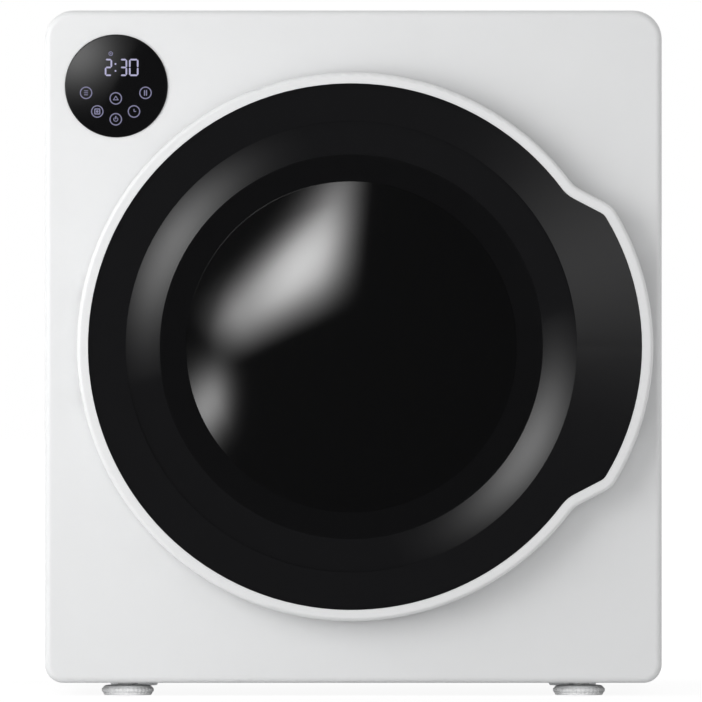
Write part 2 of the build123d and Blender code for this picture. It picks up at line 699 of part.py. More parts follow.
def control_housing():
    """The cup behind the lens, with a ledge for the board."""
    front = PANEL_BACK + LENS_WALL
    inner = LENS_RADIUS - LENS_WALL
    cup = rod(inner, front, front + CONTROL_DEPTH, CONTROL_X, CONTROL_Z)
    cup += rod(LENS_RADIUS + PANEL_WALL, front, front + CUP_WALL, CONTROL_X, CONTROL_Z)
    board_back = front + BOARD_DEPTH
    bottom = front + CONTROL_DEPTH - CUP_WALL
    cup -= rod(inner - CUP_WALL, front, board_back, CONTROL_X, CONTROL_Z)
    return cup - rod(inner - CUP_WALL - CUP_LEDGE, board_back, bottom, CONTROL_X, CONTROL_Z)


def control_board():
    """The round circuit board with its display block."""
    back = PANEL_BACK + LENS_WALL + BOARD_DEPTH
    front = back - BOARD_WALL
    radius = LENS_RADIUS - LENS_WALL - CUP_WALL - FIT
    board = rod(radius, front, back, CONTROL_X, CONTROL_Z)
    display = box((CONTROL_X + DISPLAY_X[0], CONTROL_X + DISPLAY_X[1]), (front - DISPLAY_DEPTH, front),
                  (CONTROL_Z + DISPLAY_Z[0], CONTROL_Z + DISPLAY_Z[1]))
    return board + display


# ---------------------------------------------------------------- door

def rear_sweep_relief():
    """What the rim's rear left edge gives up so that it turns clear of the panel."""
    x = HINGE_X - DOOR_SHIFT_X
    reach = HINGE_AXIS_INSET * 2
    corner = box((x - reach, x), (HINGE_Y, DOOR_REAR + RIM_FLOOR), (-RELIEF_HALF, RELIEF_HALF))
    return corner - Pos(x, HINGE_Y, 0) * Cylinder(HINGE_RELIEF, RELIEF_HALF * 2)


def hinge_pockets():
    """Room in the rim for the knuckle, and for each lug as the door swings."""
    x = HINGE_X - DOOR_SHIFT_X
    room = KNUCKLE_RADIUS + POCKET_GAP
    deep = HINGE_Y - room
    half = KNUCKLE_HALF + LUG_WALL + 2 * FIT
    pocket = box((x - room, x + room + LEAF_WALL), (deep, DOOR_REAR), (-half, half))
    lug_half = LUG_WALL / 2 + LUG_GAP
    lug_centre = KNUCKLE_HALF + LUG_WALL / 2 + FIT
    sweeps = [box((x - HINGE_AXIS_INSET * 2, x + room), (deep - AIR, DOOR_REAR),
                  (side * lug_centre - lug_half, side * lug_centre + lug_half)) for side in (-1, 1)]
    return [pocket] + sweeps


def door_rim():
    """The white outer frame, hollow from the front, with a finger grip behind the lobe."""
    rim = slab(door_outline(RIM_WIDTH), DOOR_FACE, DOOR_REAR)
    rim = fillet(rim.faces().sort_by(Axis.Y)[0].edges(), RIM_EDGE)
    rim = fillet(rim.faces().sort_by(Axis.Y)[-1].edges(), RIM_BACK_EDGE)
    grip_floor = GRIP_BACK - RIM_FLOOR
    inner = door_outline(-RIM_LEDGE)
    grip_wall = GRIP_RADIUS - RIM_FLOOR
    rim -= slab(door_outline(FIT), DOOR_FACE, TRIM_BACK)
    rim -= slab(inner & Circle(grip_wall), TRIM_BACK, RIM_INSIDE)
    left = Pos(-LOBE_REACH, 0) * Rectangle(LOBE_REACH * 2, LOBE_REACH * 2)
    rim -= slab(inner & left, TRIM_BACK, RIM_INSIDE)
    rim -= slab(inner, TRIM_BACK, grip_floor)
    grip = Pos(LOBE_REACH, 0) * Rectangle(LOBE_REACH, GRIP_HALF * 2) - Circle(GRIP_RADIUS)
    rim -= slab(grip, GRIP_BACK, DOOR_REAR)
    rim -= rod(RIM_OPENING_R, RIM_INSIDE, DOOR_REAR)
    rim -= rear_sweep_relief()
    rim -= hinge_pockets()
    rim -= screw_holes(door_screw_points() + leaf_screw_points(), RIM_INSIDE, DOOR_REAR)
    return at_drum(rim)


def trim_crown():
    """The dome that the plate lies in: level at the step, and lower towards the lobe's tip."""
    span = LOBE_REACH - STEP_RADIUS
    arc_radius = (span ** 2 + TRIM_CROWN ** 2) / (2 * TRIM_CROWN)
    half_angle = math.asin(span / arc_radius) / 2
    middle = (STEP_RADIUS + arc_radius * math.sin(half_angle), TRIM_FACE + arc_radius * (1 - math.cos(half_angle)))
    section = make_face([
        ThreePointArc((STEP_RADIUS, TRIM_FACE), middle, (LOBE_REACH, TRIM_FACE + TRIM_CROWN)),
        Line((LOBE_REACH, TRIM_FACE + TRIM_CROWN), (LOBE_REACH, TRIM_BACK)),
        Line((LOBE_REACH, TRIM_BACK), (STEP_RADIUS, TRIM_BACK)),
        Line((STEP_RADIUS, TRIM_BACK), (STEP_RADIUS, TRIM_FACE)),
    ])
    return revolve(section, Axis.Y)


def door_trim():
    """The black face: a crowned plate, a step, a dished bevel and a flat ring round the window."""
    plate = slab(door_outline() - Circle(STEP_RADIUS), TRIM_FACE, TRIM_BACK) & trim_crown()
    dish = turned([
        (STEP_RADIUS, BEVEL_TOP),
        (BEVEL_RADIUS, BEVEL_FLOOR),
        (WINDOW_RADIUS + FIT, BEVEL_FLOOR),
        (WINDOW_RADIUS + FIT, WINDOW_SEAT),
        (BEVEL_RADIUS, WINDOW_SEAT),
        (STEP_RADIUS, BEVEL_TOP + TRIM_WALL),
        (STEP_RADIUS + TRIM_WALL, BEVEL_TOP + TRIM_WALL),
        (STEP_RADIUS + TRIM_WALL, TRIM_BACK - TRIM_LAP),
        (STEP_RADIUS, TRIM_BACK - TRIM_LAP),
    ])
    return at_drum(plate + dish)


def dome(radius, edge_y, crown_y):
    """The half section of a shallow dome, from its edge to its crown on the axis."""
    rise = edge_y - crown_y
    sphere = (radius ** 2 + rise ** 2) / (2 * rise)
    half_angle = math.asin(radius / sphere) / 2
    middle = (sphere * math.sin(half_angle), crown_y + sphere * (1 - math.cos(half_angle)))
    return ThreePointArc((radius, edge_y), middle, (0, crown_y))


def door_window():
    """The domed window, its flange held behind the trim's flat ring."""
    edge = BEVEL_FLOOR
    crown = edge - WINDOW_CROWN
    inner_radius = WINDOW_RADIUS - WINDOW_WALL
    flange = WINDOW_RADIUS + WINDOW_FLANGE
    section = make_face([
        dome(WINDOW_RADIUS, edge, crown),
        Line((0, crown), (0, crown + WINDOW_WALL)),
        dome(inner_radius, WINDOW_BACK, crown + WINDOW_WALL),
        Line((inner_radius, WINDOW_BACK), (flange, WINDOW_BACK)),
        Line((flange, WINDOW_BACK), (flange, WINDOW_SEAT)),
        Line((flange, WINDOW_SEAT), (WINDOW_RADIUS, WINDOW_SEAT)),
        Line((WINDOW_RADIUS, WINDOW_SEAT), (WINDOW_RADIUS, edge)),
    ])
    return at_drum(revolve(section, Axis.Y))


def door_inner_panel():
    """The hollow liner: a flange behind the rim's floor, a plug for the mouth, a cone to the window."""
    flange_front = RIM_INSIDE - LINER_WALL
    rim_inner = RIM_OPENING_R - FIT
    plug_tip = PLUG_RADIUS - PLUG_TAPER
    throat = plug_tip - PLUG_RING
    liner = turned([
        (RIM_OPENING_R + LINER_FLANGE, flange_front),
        (RIM_OPENING_R + LINER_FLANGE, RIM_INSIDE),
        (rim_inner, RIM_INSIDE),
        (rim_inner, DOOR_REAR),
        (PLUG_RADIUS, DOOR_REAR),
        (plug_tip, PLUG_END),
        (throat, PLUG_END),
        (WINDOW_RADIUS, WINDOW_BACK),
        (WINDOW_RADIUS + LINER_WALL, WINDOW_BACK),
        (throat + LINER_WALL, PLUG_END - LINER_WALL),
        (plug_tip - LINER_WALL, PLUG_END - LINER_WALL),
        (PLUG_RADIUS - LINER_WALL, DOOR_REAR - LINER_WALL),
        (rim_inner - LINER_WALL, DOOR_REAR - LINER_WALL),
        (rim_inner - LINER_WALL, flange_front),
    ])
    return at_drum(liner - screw_holes(door_screw_points(), flange_front, RIM_INSIDE))


def door_gasket():
    """The rubber lip that closes on the panel round the mouth, its nose rounded."""
    inner = MOUTH_RADIUS + MOUTH_EDGE + GASKET_INSET
    ring = tube(inner + GASKET_WIDTH, inner, DOOR_REAR, FRONT - AIR)
    return at_drum(fillet(ring.faces().sort_by(Axis.Y)[-1].edges(), GASKET_NOSE))


def hinge_leaf():
    """The door's half of the hinge: a knuckle, a web and a foot on the rim's floor."""
    x = HINGE_X - DOOR_SHIFT_X
    foot_y = RIM_INSIDE - LEAF_WALL
    foot_start = x + KNUCKLE_RADIUS + LEAF_WALL
    foot_end = x + LEAF_REACH
    web = Polyline(
        (x, HINGE_Y - LEAF_WALL / 2),
        (x, HINGE_Y + LEAF_WALL / 2),
        (foot_start, RIM_INSIDE),
        (foot_end, RIM_INSIDE),
        (foot_end, foot_y),
        (foot_start + LEAF_WALL, foot_y),
        (x + LEAF_WALL, HINGE_Y - LEAF_WALL / 2),
        close=True,
    )
    plate = extrude(make_face(web), amount=LEAF_HALF, both=True)
    knuckle = Pos(x, HINGE_Y, 0) * Cylinder(KNUCKLE_RADIUS, KNUCKLE_HALF * 2)
    bore = Pos(x, HINGE_Y, 0) * Cylinder(HINGE_PIN_R + RUNNING, KNUCKLE_HALF * 2)
    leaf = plate + knuckle - bore
    return at_drum(leaf - screw_holes(leaf_screw_points(), foot_y, RIM_INSIDE))


def lug_centres():
    """The heights of the bracket's two lugs."""
    reach = KNUCKLE_HALF + FIT + LUG_WALL / 2
    return [DOOR_Z - reach, DOOR_Z + reach]


def hinge_bracket():
    """The cabinet's half of the hinge: a plate on the panel and two lugs round the pin."""
    left = HINGE_X - LUG_RADIUS
    plate = box((left, left + BRACKET_WIDTH), (BRACKET_FACE, FRONT),
                (DOOR_Z - BRACKET_HALF, DOOR_Z + BRACKET_HALF))
    for z in lug_centres():
        eye = Pos(HINGE_X, HINGE_Y, z) * Cylinder(LUG_RADIUS, LUG_WALL)
        arm = box((HINGE_X - LUG_ARM / 2, HINGE_X + LUG_ARM / 2), (HINGE_Y, BRACKET_FACE),
                  (z - LUG_WALL / 2, z + LUG_WALL / 2))
        plate += eye + arm
        plate -= Pos(HINGE_X, HINGE_Y, z) * Cylinder(HINGE_PIN_R + RUNNING, LUG_WALL)
    return plate - screw_holes(bracket_screw_points(), BRACKET_FACE, FRONT)


def hinge_pin():
    """The pin through both lugs and the knuckle."""
    low, high = lug_centres()
    return post(HINGE_PIN_R, low - LUG_WALL / 2, high + LUG_WALL / 2, HINGE_X, HINGE_Y)


def magnet_block(grow=0.0):
    """The catch's place in the panel, in door coordinates."""
    half_x = MAGNET_WIDTH / 2 + grow
    half_z = MAGNET_HEIGHT / 2 + grow
    front = DOOR_REAR + STRIKE_WALL + AIR
    return box((MAGNET_RADIUS - half_x, MAGNET_RADIUS + half_x), (front, FRONT + MAGNET_DEPTH), (-half_z, half_z))


def door_magnet():
    """The magnetic catch: a block through the panel with a flange behind it."""
    half_x = MAGNET_WIDTH / 2 + PANEL_WALL
    half_z = MAGNET_HEIGHT / 2 + MAGNET_EAR
    flange = box((MAGNET_RADIUS - half_x, MAGNET_RADIUS + half_x), (PANEL_BACK, PANEL_BACK + PANEL_WALL),
                 (-half_z, half_z))
    return at_drum(magnet_block() + flange)


def strike_plate():
    """The steel plate on the door that the magnet holds."""
    half_x = MAGNET_WIDTH / 2
    half_z = MAGNET_HEIGHT / 2
    return at_drum(box((MAGNET_RADIUS - half_x, MAGNET_RADIUS + half_x), (DOOR_REAR, DOOR_REAR + STRIKE_WALL),
                       (-half_z, half_z)))


def door_screws():
    """The screws of the liner and the hinge leaf."""
    depth = RIM_FLOOR + LINER_WALL
    return [at_drum(screw(x, DOOR_REAR, z, depth)) for x, z in door_screw_points() + leaf_screw_points()]


def hinge_screws():
    """The screws that hold the bracket on the panel, heads towards the door."""
    screws = []
    for x, z in bracket_screw_points():
        head = rod(SCREW_HEAD_R, BRACKET_FACE - SCREW_HEAD, BRACKET_FACE, x, z)
        screws.append(head + rod(SCREW_SHANK_R, BRACKET_FACE, PANEL_BACK + SCREW_HEAD, x, z))
    return screws


def switch_centre():
    return polar(MAGNET_RADIUS, SWITCH_ANGLE, DOOR_SHIFT_X, DOOR_Z)


def door_switch():
    """The switch behind the panel, bored for its plunger."""
    x, z = switch_centre()
    stop = PANEL_BACK + PLUNGER_STEM
    body = box((x - SWITCH_HALF_WIDTH, x + SWITCH_HALF_WIDTH), (PANEL_BACK, stop + SWITCH_BACK),
               (z - SWITCH_HALF_HEIGHT, z + SWITCH_HALF_HEIGHT))
    return body - rod(PLUNGER_RADIUS + RUNNING, PANEL_BACK, stop + PLUNGER_OVERTRAVEL, x, z)


def switch_plunger():
    """The rod that the closed door holds in."""
    x, z = switch_centre()
    stem = rod(PLUNGER_RADIUS, DOOR_REAR + AIR, PANEL_BACK + PLUNGER_STEM, x, z)
    return fillet(stem.faces().sort_by(Axis.Y)[0].edges(), PLUNGER_EDGE)


# ---------------------------------------------------------------- drum

def drum_shell():
    """The rolled drum: a flat front with a turned-in lip, and beads either side of the belt."""
    inner = DRUM_RADIUS - DRUM_WALL
    half = BELT_WIDTH / 2 + BEAD_MARGIN
    profile = [(DRUM_MOUTH_R, DRUM_NOSE + DRUM_LIP), (DRUM_MOUTH_R, DRUM_NOSE), (DRUM_RADIUS, DRUM_NOSE)]
    for start in (BELT_Y - half - DRUM_BEAD_WIDTH, BELT_Y + half):
        profile += [(DRUM_RADIUS, start), (BEAD_RADIUS, start + DRUM_BEAD),
                    (BEAD_RADIUS, start + DRUM_BEAD_WIDTH - DRUM_BEAD), (DRUM_RADIUS, start + DRUM_BEAD_WIDTH)]
    profile += [(DRUM_RADIUS, DRUM_TAIL), (inner, DRUM_TAIL), (inner, DRUM_NOSE + DRUM_WALL)]
    profile += [(DRUM_MOUTH_R + DRUM_WALL, DRUM_NOSE + DRUM_WALL), (DRUM_MOUTH_R + DRUM_WALL, DRUM_NOSE + DRUM_LIP)]
    return at_drum(turned(profile))


def drum_back():
    """The drum's rear wall, dished round its rim and slotted for hot air."""
    outer = DRUM_RADIUS - DRUM_WALL - RUNNING
    front = DRUM_TAIL - DRUM_LIP
    plate = rod(outer, front, front + DRUM_WALL)
    rim = tube(outer, outer - DRUM_WALL, front, DRUM_TAIL)
    return at_drum(plate + rim - air_slots(front, front + DRUM_WALL))


def baffle_root():
    """The radius at which the lifters sit on the drum's wall."""
    return DRUM_RADIUS - DRUM_WALL - RUNNING


def baffle_section():
    """A lifter's cross-section: broad at the drum wall, rounded at its crest."""
    root = baffle_root()
    half = BAFFLE_FOOT / 2
    half_angle = math.degrees(math.asin(half / root))
    left = polar(root, -90 - half_angle)
    right = polar(root, -90 + half_angle)
    crest_z = -root + BAFFLE_HEIGHT
    shape = make_face([
        ThreePointArc(left, (0, -root), right),
        Line(right, (BAFFLE_CREST, crest_z)),
        Line((BAFFLE_CREST, crest_z), (-BAFFLE_CREST, crest_z)),
        Line((-BAFFLE_CREST, crest_z), left),
    ])
    return fillet(shape.vertices().group_by(Axis.Y)[-1], BAFFLE_EDGE)


def drum_baffles():
    """The lifters, evenly spaced round the drum, hollow and open towards its wall."""
    front = DRUM_NOSE + DRUM_WALL + BAFFLE_END_GAP
    back = DRUM_TAIL - DRUM_LIP - BAFFLE_END_GAP
    section = baffle_section()
    opening = Pos(0, -baffle_root()) * Rectangle(BAFFLE_FOOT - BAFFLE_LEDGE * 2, BAFFLE_FOOT / 2)
    hollow = offset(section, -BAFFLE_WALL) + (section & opening)
    one = slab(section, front, back) - slab(hollow, front + BAFFLE_WALL, back - BAFFLE_WALL)
    return [at_drum(Rot(0, 360 / BAFFLE_COUNT * index, 0) * one) for index in range(BAFFLE_COUNT)]


def drum_shaft():
    """The rear spindle on its riveted hub."""
    back = DRUM_TAIL - DRUM_LIP + DRUM_WALL
    spindle = rod(SHAFT_RADIUS, back, back + SHAFT_LENGTH)
    return at_drum(spindle + rod(HUB_RADIUS, back, back + HUB_WALL))


def drum_bearing():
    """The flanged bush in the rear bulkhead that carries the spindle."""
    front = REAR_BULKHEAD - BEARING_WALL
    back = DRUM_TAIL - DRUM_LIP + DRUM_WALL + SHAFT_LENGTH
    bush = rod(BEARING_RADIUS, front, back) + rod(BEARING_FLANGE, REAR_BULKHEAD_BACK, REAR_BULKHEAD_BACK + BEARING_WALL)
    return at_drum(bush - rod(SHAFT_RADIUS + RUNNING, front, back))


def heater_housing():
    """The pan that leads room air over the heater, open at its middle."""
    front = REAR_BULKHEAD_BACK
    back = front + HEATER_DEPTH
    pan = rod(HEATER_RADIUS, front, back) - rod(HEATER_RADIUS - SHEET, front, back - SHEET)
    pan -= rod(HEATER_INTAKE_R, back - SHEET, back)
    return at_drum(pan)


def heater_coil():
    """Two heating rings on a cross frame inside the pan."""
    middle = REAR_BULKHEAD_BACK + HEATER_DEPTH / 2
    reach = HEATER_RADIUS - SHEET - FIT
    back = middle + COIL_WIRE + COIL_FRAME_WALL
    bars = box((-reach, reach), (middle + COIL_WIRE, back), (-COIL_BAR_HALF, COIL_BAR_HALF))
    bars += box((-COIL_BAR_HALF, COIL_BAR_HALF), (middle + COIL_WIRE, back), (-reach, reach))
    frame = bars & tube(reach, HEATER_INTAKE_R, middle, back)
    for radius in COIL_RADII:
        frame += Pos(0, middle + COIL_WIRE / 2, 0) * Rot(90, 0, 0) * Torus(radius, COIL_WIRE)
    return at_drum(frame)


def thermostat():
    """The safety cut-out on the back of the heater pan."""
    back = REAR_BULKHEAD_BACK + HEATER_DEPTH
    centre = (HEATER_RADIUS + HEATER_INTAKE_R) / 2
    base = rod(THERMOSTAT_BASE_R, back, back + THERMOSTAT_BASE, 0, centre)
    return at_drum(base + rod(THERMOSTAT_R, back, back + THERMOSTAT_HEIGHT, 0, centre))


# ---------------------------------------------------------------- drive

def tangent_sides(first_radius, second_radius):
    """The angles at which an open belt leaves the drum towards the motor's pulley."""
    lean = math.degrees(math.acos((first_radius - second_radius) / MOTOR_REACH))
    return MOTOR_ANGLE - lean, MOTOR_ANGLE + lean


def belt_outline(grow):
    """The belt's line round drum and motor pulley, grown outwards."""
    drum_r = DRUM_RADIUS + AIR + grow
    pulley_r = PULLEY_RADIUS + AIR + grow
    low, high = tangent_sides(drum_r, pulley_r)
    drum_low, drum_high = (polar(drum_r, angle, DOOR_SHIFT_X, DOOR_Z) for angle in (low, high))
    drum_far = polar(drum_r, MOTOR_ANGLE + 180, DOOR_SHIFT_X, DOOR_Z)
    pulley_low, pulley_high = (polar(pulley_r, angle, MOTOR_X, MOTOR_Z) for angle in (low, high))
    pulley_far = polar(pulley_r, MOTOR_ANGLE, MOTOR_X, MOTOR_Z)
    return make_face([
        ThreePointArc(drum_high, drum_far, drum_low),
        Line(drum_low, pulley_low),
        ThreePointArc(pulley_low, pulley_far, pulley_high),
        Line(pulley_high, drum_high),
    ])


def drum_belt():
    """The flat ribbed belt round the drum and the motor's pulley."""
    return slab(belt_outline(BELT_WALL) - belt_outline(0.0), BELT_Y - BELT_WIDTH / 2, BELT_Y + BELT_WIDTH / 2)


def idler_centre():
    """Where the idler's rim meets the back of the belt's lower run."""
    drum_r = DRUM_RADIUS + AIR + BELT_WALL
    pulley_r = PULLEY_RADIUS + AIR + BELT_WALL
    low = tangent_sides(drum_r, pulley_r)[0]
    start = polar(drum_r, low, DOOR_SHIFT_X, DOOR_Z)
    end = polar(pulley_r, low, MOTOR_X, MOTOR_Z)
    x = start[0] + (end[0] - start[0]) * IDLER_SHARE
    z = start[1] + (end[1] - start[1]) * IDLER_SHARE
    return polar(IDLER_RADIUS + AIR, low, x, z)


def pivot_centre():
    """The arm's pivot, at its own height over the base pan and an arm's length from the idler."""
    x, z = idler_centre()
    pivot_z = BASE_TOP + PIVOT_HEIGHT
    return (x - math.sqrt(IDLER_ARM_LENGTH ** 2 - (z - pivot_z) ** 2), pivot_z)


def idler_planes():
    """Front and back of the idler pulley, and the back of its arm."""
    front = BELT_Y - IDLER_WIDTH / 2
    back = BELT_Y + IDLER_WIDTH / 2
    return front, back, back + AIR + IDLER_ARM_WALL


def motor_body():
    """The motor's can, with stepped end bells."""
    front = BULKHEAD + MOTOR_START
    back = front + MOTOR_LENGTH
    body = rod(MOTOR_RADIUS, front + MOTOR_BELL, back - MOTOR_BELL, MOTOR_X, MOTOR_Z)
    body += rod(MOTOR_BELL_R, front, back, MOTOR_X, MOTOR_Z)
    return body - rod(MOTOR_SHAFT_R + RUNNING, front, back, MOTOR_X, MOTOR_Z)


def motor_shaft():
    """The shaft from the fan, through the motor, to the pulley."""
    return rod(MOTOR_SHAFT_R, BULKHEAD_BACK + FAN_GAP, BELT_Y + PULLEY_WIDTH, MOTOR_X, MOTOR_Z)


def motor_pulley():
    """The small pulley, flanged either side of the belt."""
    half = PULLEY_WIDTH / 2
    rim = half - PULLEY_LIP
    wheel = rod(PULLEY_RADIUS, BELT_Y - half, BELT_Y + half, MOTOR_X, MOTOR_Z)
    for front, back in ((BELT_Y - half, BELT_Y - rim), (BELT_Y + rim, BELT_Y + half)):
        wheel += rod(PULLEY_RADIUS + PULLEY_FLANGE, front, back, MOTOR_X, MOTOR_Z)
    return wheel - rod(MOTOR_SHAFT_R + RUNNING, BELT_Y - half, BELT_Y + half, MOTOR_X, MOTOR_Z)


def fan_wheel():
    """The centrifugal wheel: a back plate, a hub, swept blades and a front ring."""
    front = BULKHEAD_BACK + FAN_FRONT_GAP
    back = front + FAN_DEPTH
    wheel = rod(FAN_RADIUS, back - FAN_WALL, back) + rod(FAN_HUB_R, back - FAN_HUB_LENGTH, back)
    wheel += tube(FAN_RADIUS, INLET_RADIUS, front, front + FAN_WALL)
    blade = Rot(0, 0, FAN_BLADE_ANGLE) * Rectangle(FAN_RADIUS - INLET_RADIUS, FAN_WALL)
    blade = Pos((FAN_RADIUS + INLET_RADIUS) / 2, 0) * blade
    for index in range(FAN_BLADES):
        wheel += slab(Rot(0, 0, 360 / FAN_BLADES * index) * blade, front, back)
    wheel -= rod(MOTOR_SHAFT_R + RUNNING, front, back)
    return Pos(MOTOR_X, 0, MOTOR_Z) * wheel


def scroll_outline(inset=0.0):
    """The fan housing's outline: a drum with an outlet low on the left."""
    round_part = Pos(MOTOR_X, MOTOR_Z) * Circle(FAN_HOUSING_R - inset)
    low = DUCT_FLOOR + inset
    high = DUCT_CEILING - inset
    outlet = Pos((SCROLL_LEFT + MOTOR_X) / 2, (low + high) / 2) * Rectangle(MOTOR_X - SCROLL_LEFT, high - low)
    return round_part + outlet


def fan_housing():
    """The fan's scroll case, closed in front by the bulkhead."""
    case = slab(scroll_outline(), BULKHEAD_BACK, SCROLL_BACK)
    case -= slab(scroll_outline(FAN_WALL), BULKHEAD_BACK, SCROLL_BACK - FAN_WALL)
    return case - rod(MOTOR_SHAFT_R + SHAFT_HOLE_GAP, SCROLL_BACK - FAN_WALL, SCROLL_BACK, MOTOR_X, MOTOR_Z)


def duct_form(inset, front, elbow_back, pipe_back):
    """The exhaust path: a flat run under the drum, an elbow, and a pipe to the rear."""
    left = EXHAUST_X - EXHAUST_RADIUS + inset
    low = DUCT_FLOOR + inset
    run = box((left, SCROLL_LEFT), (front, elbow_back), (low, DUCT_CEILING - inset))
    elbow = box((left, EXHAUST_X + EXHAUST_RADIUS - inset), (front, elbow_back), (low, EXHAUST_Z))
    pipe = rod(EXHAUST_RADIUS - inset, front, pipe_back, EXHAUST_X, EXHAUST_Z)
    return run + elbow + pipe


def exhaust_duct():
    """The duct from the fan's outlet to the collar."""
    outer = duct_form(0.0, BULKHEAD_BACK, SCROLL_BACK, SHELL_BACK)
    inner = duct_form(DUCT_WALL, BULKHEAD_BACK + DUCT_WALL, SCROLL_BACK - DUCT_WALL, SHELL_BACK)
    return outer - inner


def drive_bracket():
    """The motor's cradle and the idler's post, on the base pan."""
    front = BULKHEAD + MOTOR_START
    left = MOTOR_X - CRADLE_HALF
    right = MOTOR_X + CRADLE_HALF
    foot = (BASE_TOP, BASE_TOP + BRACKET_FOOT)
    ends = [front + CRADLE_INSET, front + MOTOR_LENGTH - CRADLE_INSET]
    pivot_x, pivot_z = pivot_centre()
    idler_front, _, arm_back = idler_planes()
    post_front = arm_back + AIR
    post_back = post_front + IDLER_ARM_WALL
    bracket = box((left, right), (ends[0] - IDLER_ARM_WALL, post_back), foot)
    for y in ends:
        bracket += box((left, right), (y, y + IDLER_ARM_WALL), (BASE_TOP, MOTOR_Z - CRADLE_DROP))
    bracket -= rod(MOTOR_RADIUS + AIR, front, front + MOTOR_LENGTH, MOTOR_X, MOTOR_Z)
    bracket += box((pivot_x - POST_HALF, left), (post_front, post_back), foot)
    bracket += box((pivot_x - POST_HALF, pivot_x + POST_HALF), (post_front, post_back),
                   (BASE_TOP, pivot_z + POST_HALF))
    return bracket + rod(PIVOT_RADIUS, idler_front, post_front, pivot_x, pivot_z)


def idler_arm():
    """The arm that holds the idler pulley to the belt."""
    pivot = pivot_centre()
    wheel = idler_centre()
    front, back, arm_back = idler_planes()
    arm_front = back + AIR
    middle = ((pivot[0] + wheel[0]) / 2, (pivot[1] + wheel[1]) / 2)
    slope = math.degrees(math.atan2(wheel[1] - pivot[1], wheel[0] - pivot[0]))
    slot = Pos(*middle) * Rot(0, 0, slope) * SlotCenterToCenter(IDLER_ARM_LENGTH, IDLER_ARM_WIDTH)
    arm = slab(slot, arm_front, arm_back)
    arm += rod(IDLER_AXLE_R, front - SHEET, arm_front, *wheel)
    return arm - rod(PIVOT_RADIUS + RUNNING, arm_front, arm_back, *pivot)


def idler_pulley():
    """The idler's plain wheel."""
    front, back, _ = idler_planes()
    return tube(IDLER_RADIUS, IDLER_AXLE_R + RUNNING, front, back, *idler_centre())


def idler_spring():
    """The torsion spring round the arm's pivot."""
    back = idler_planes()[1] + AIR
    coil_radius = PIVOT_RADIUS + SPRING_WIRE + AIR
    pitch = SPRING_WIRE * 2 - SPRING_LAP
    pivot_x, pivot_z = pivot_centre()
    rings = []
    for turn in range(SPRING_TURNS):
        y = back - SPRING_WIRE - turn * pitch
        rings.append(Pos(pivot_x, y, pivot_z) * Rot(90, 0, 0) * Torus(coil_radius, SPRING_WIRE))
    coil = rings[0]
    for ring in rings[1:]:
        coil += ring
    return coil


def run_capacitor():
    """The motor's capacitor, standing on the base pan."""
    return post(CAPACITOR_RADIUS, BASE_TOP, BASE_TOP + CAPACITOR_HEIGHT, MOTOR_X - CAPACITOR_SIDE,
                BELT_Y + CAPACITOR_BEHIND)


# ---------------------------------------------------------------- lint filter

def filter_span(gap=0.0):
    """The filter's front and back, between the mouth's flange and the bulkhead."""
    middle = (FRONT + MOUTH_FLANGE + BULKHEAD) / 2
    return (middle - FILTER_WALL / 2 - gap, middle + FILTER_WALL / 2 + gap)


def filter_outline(inset=0.0):
    """The filter seen from the front, its top curved to the mouth."""
    half = FILTER_HALF_WIDTH - inset
    low = FILTER_BOTTOM + inset
    plate = Pos(DOOR_SHIFT_X, (low + DOOR_Z) / 2) * Rectangle(half * 2, DOOR_Z - low)
    return plate - Pos(DOOR_SHIFT_X, DOOR_Z) * Circle(MOUTH_RADIUS + AIR + inset)


def lint_filter_frame():
    """The filter's frame, with a finger notch in its top edge."""
    front, back = filter_span()
    frame = slab(filter_outline(), front, back) - slab(filter_outline(FILTER_BORDER), front, back)
    top = DOOR_Z - MOUTH_RADIUS - AIR
    half = FILTER_GRIP_WIDTH / 2
    notch = box((DOOR_SHIFT_X - half, DOOR_SHIFT_X + half), (front, front + FILTER_WALL / 2),
                (top - FILTER_GRIP_DEPTH, top + FILTER_BORDER))
    return frame - notch


def lint_filter_screen():
    """The mesh panel in the filter's frame."""
    front, back = filter_span()
    middle = (front + back) / 2
    return slab(filter_outline(FILTER_BORDER + RUNNING), middle, middle + SCREEN_WALL)


def air_duct():
    """The tray behind the panel that holds the filter and leads its air to the fan."""
    front, back = filter_span(AIR)
    half = FILTER_HALF_WIDTH + AIR
    low = FILTER_BOTTOM - AIR
    right = MOTOR_X + INLET_RADIUS + DUCT_WALL
    middle_z = (low + DOOR_Z) / 2
    chamber = Pos(DOOR_SHIFT_X, middle_z) * Rectangle(half * 2, DOOR_Z - low)
    top = MOTOR_Z + INLET_RADIUS
    run_low = MOTOR_Z - INLET_RADIUS
    run = Pos((DOOR_SHIFT_X + right) / 2, (run_low + top) / 2) * Rectangle(right - DOOR_SHIFT_X, top - run_low)
    inside = chamber + run
    mouth = Pos(DOOR_SHIFT_X, DOOR_Z) * Circle(MOUTH_RADIUS + MOUTH_WALL + FIT)
    outside = offset(inside, DUCT_WALL, kind=Kind.INTERSECTION) - mouth
    return slab(outside, front - DUCT_WALL, BULKHEAD) - slab(inside, front, BULKHEAD)


# ---------------------------------------------------------------- feet

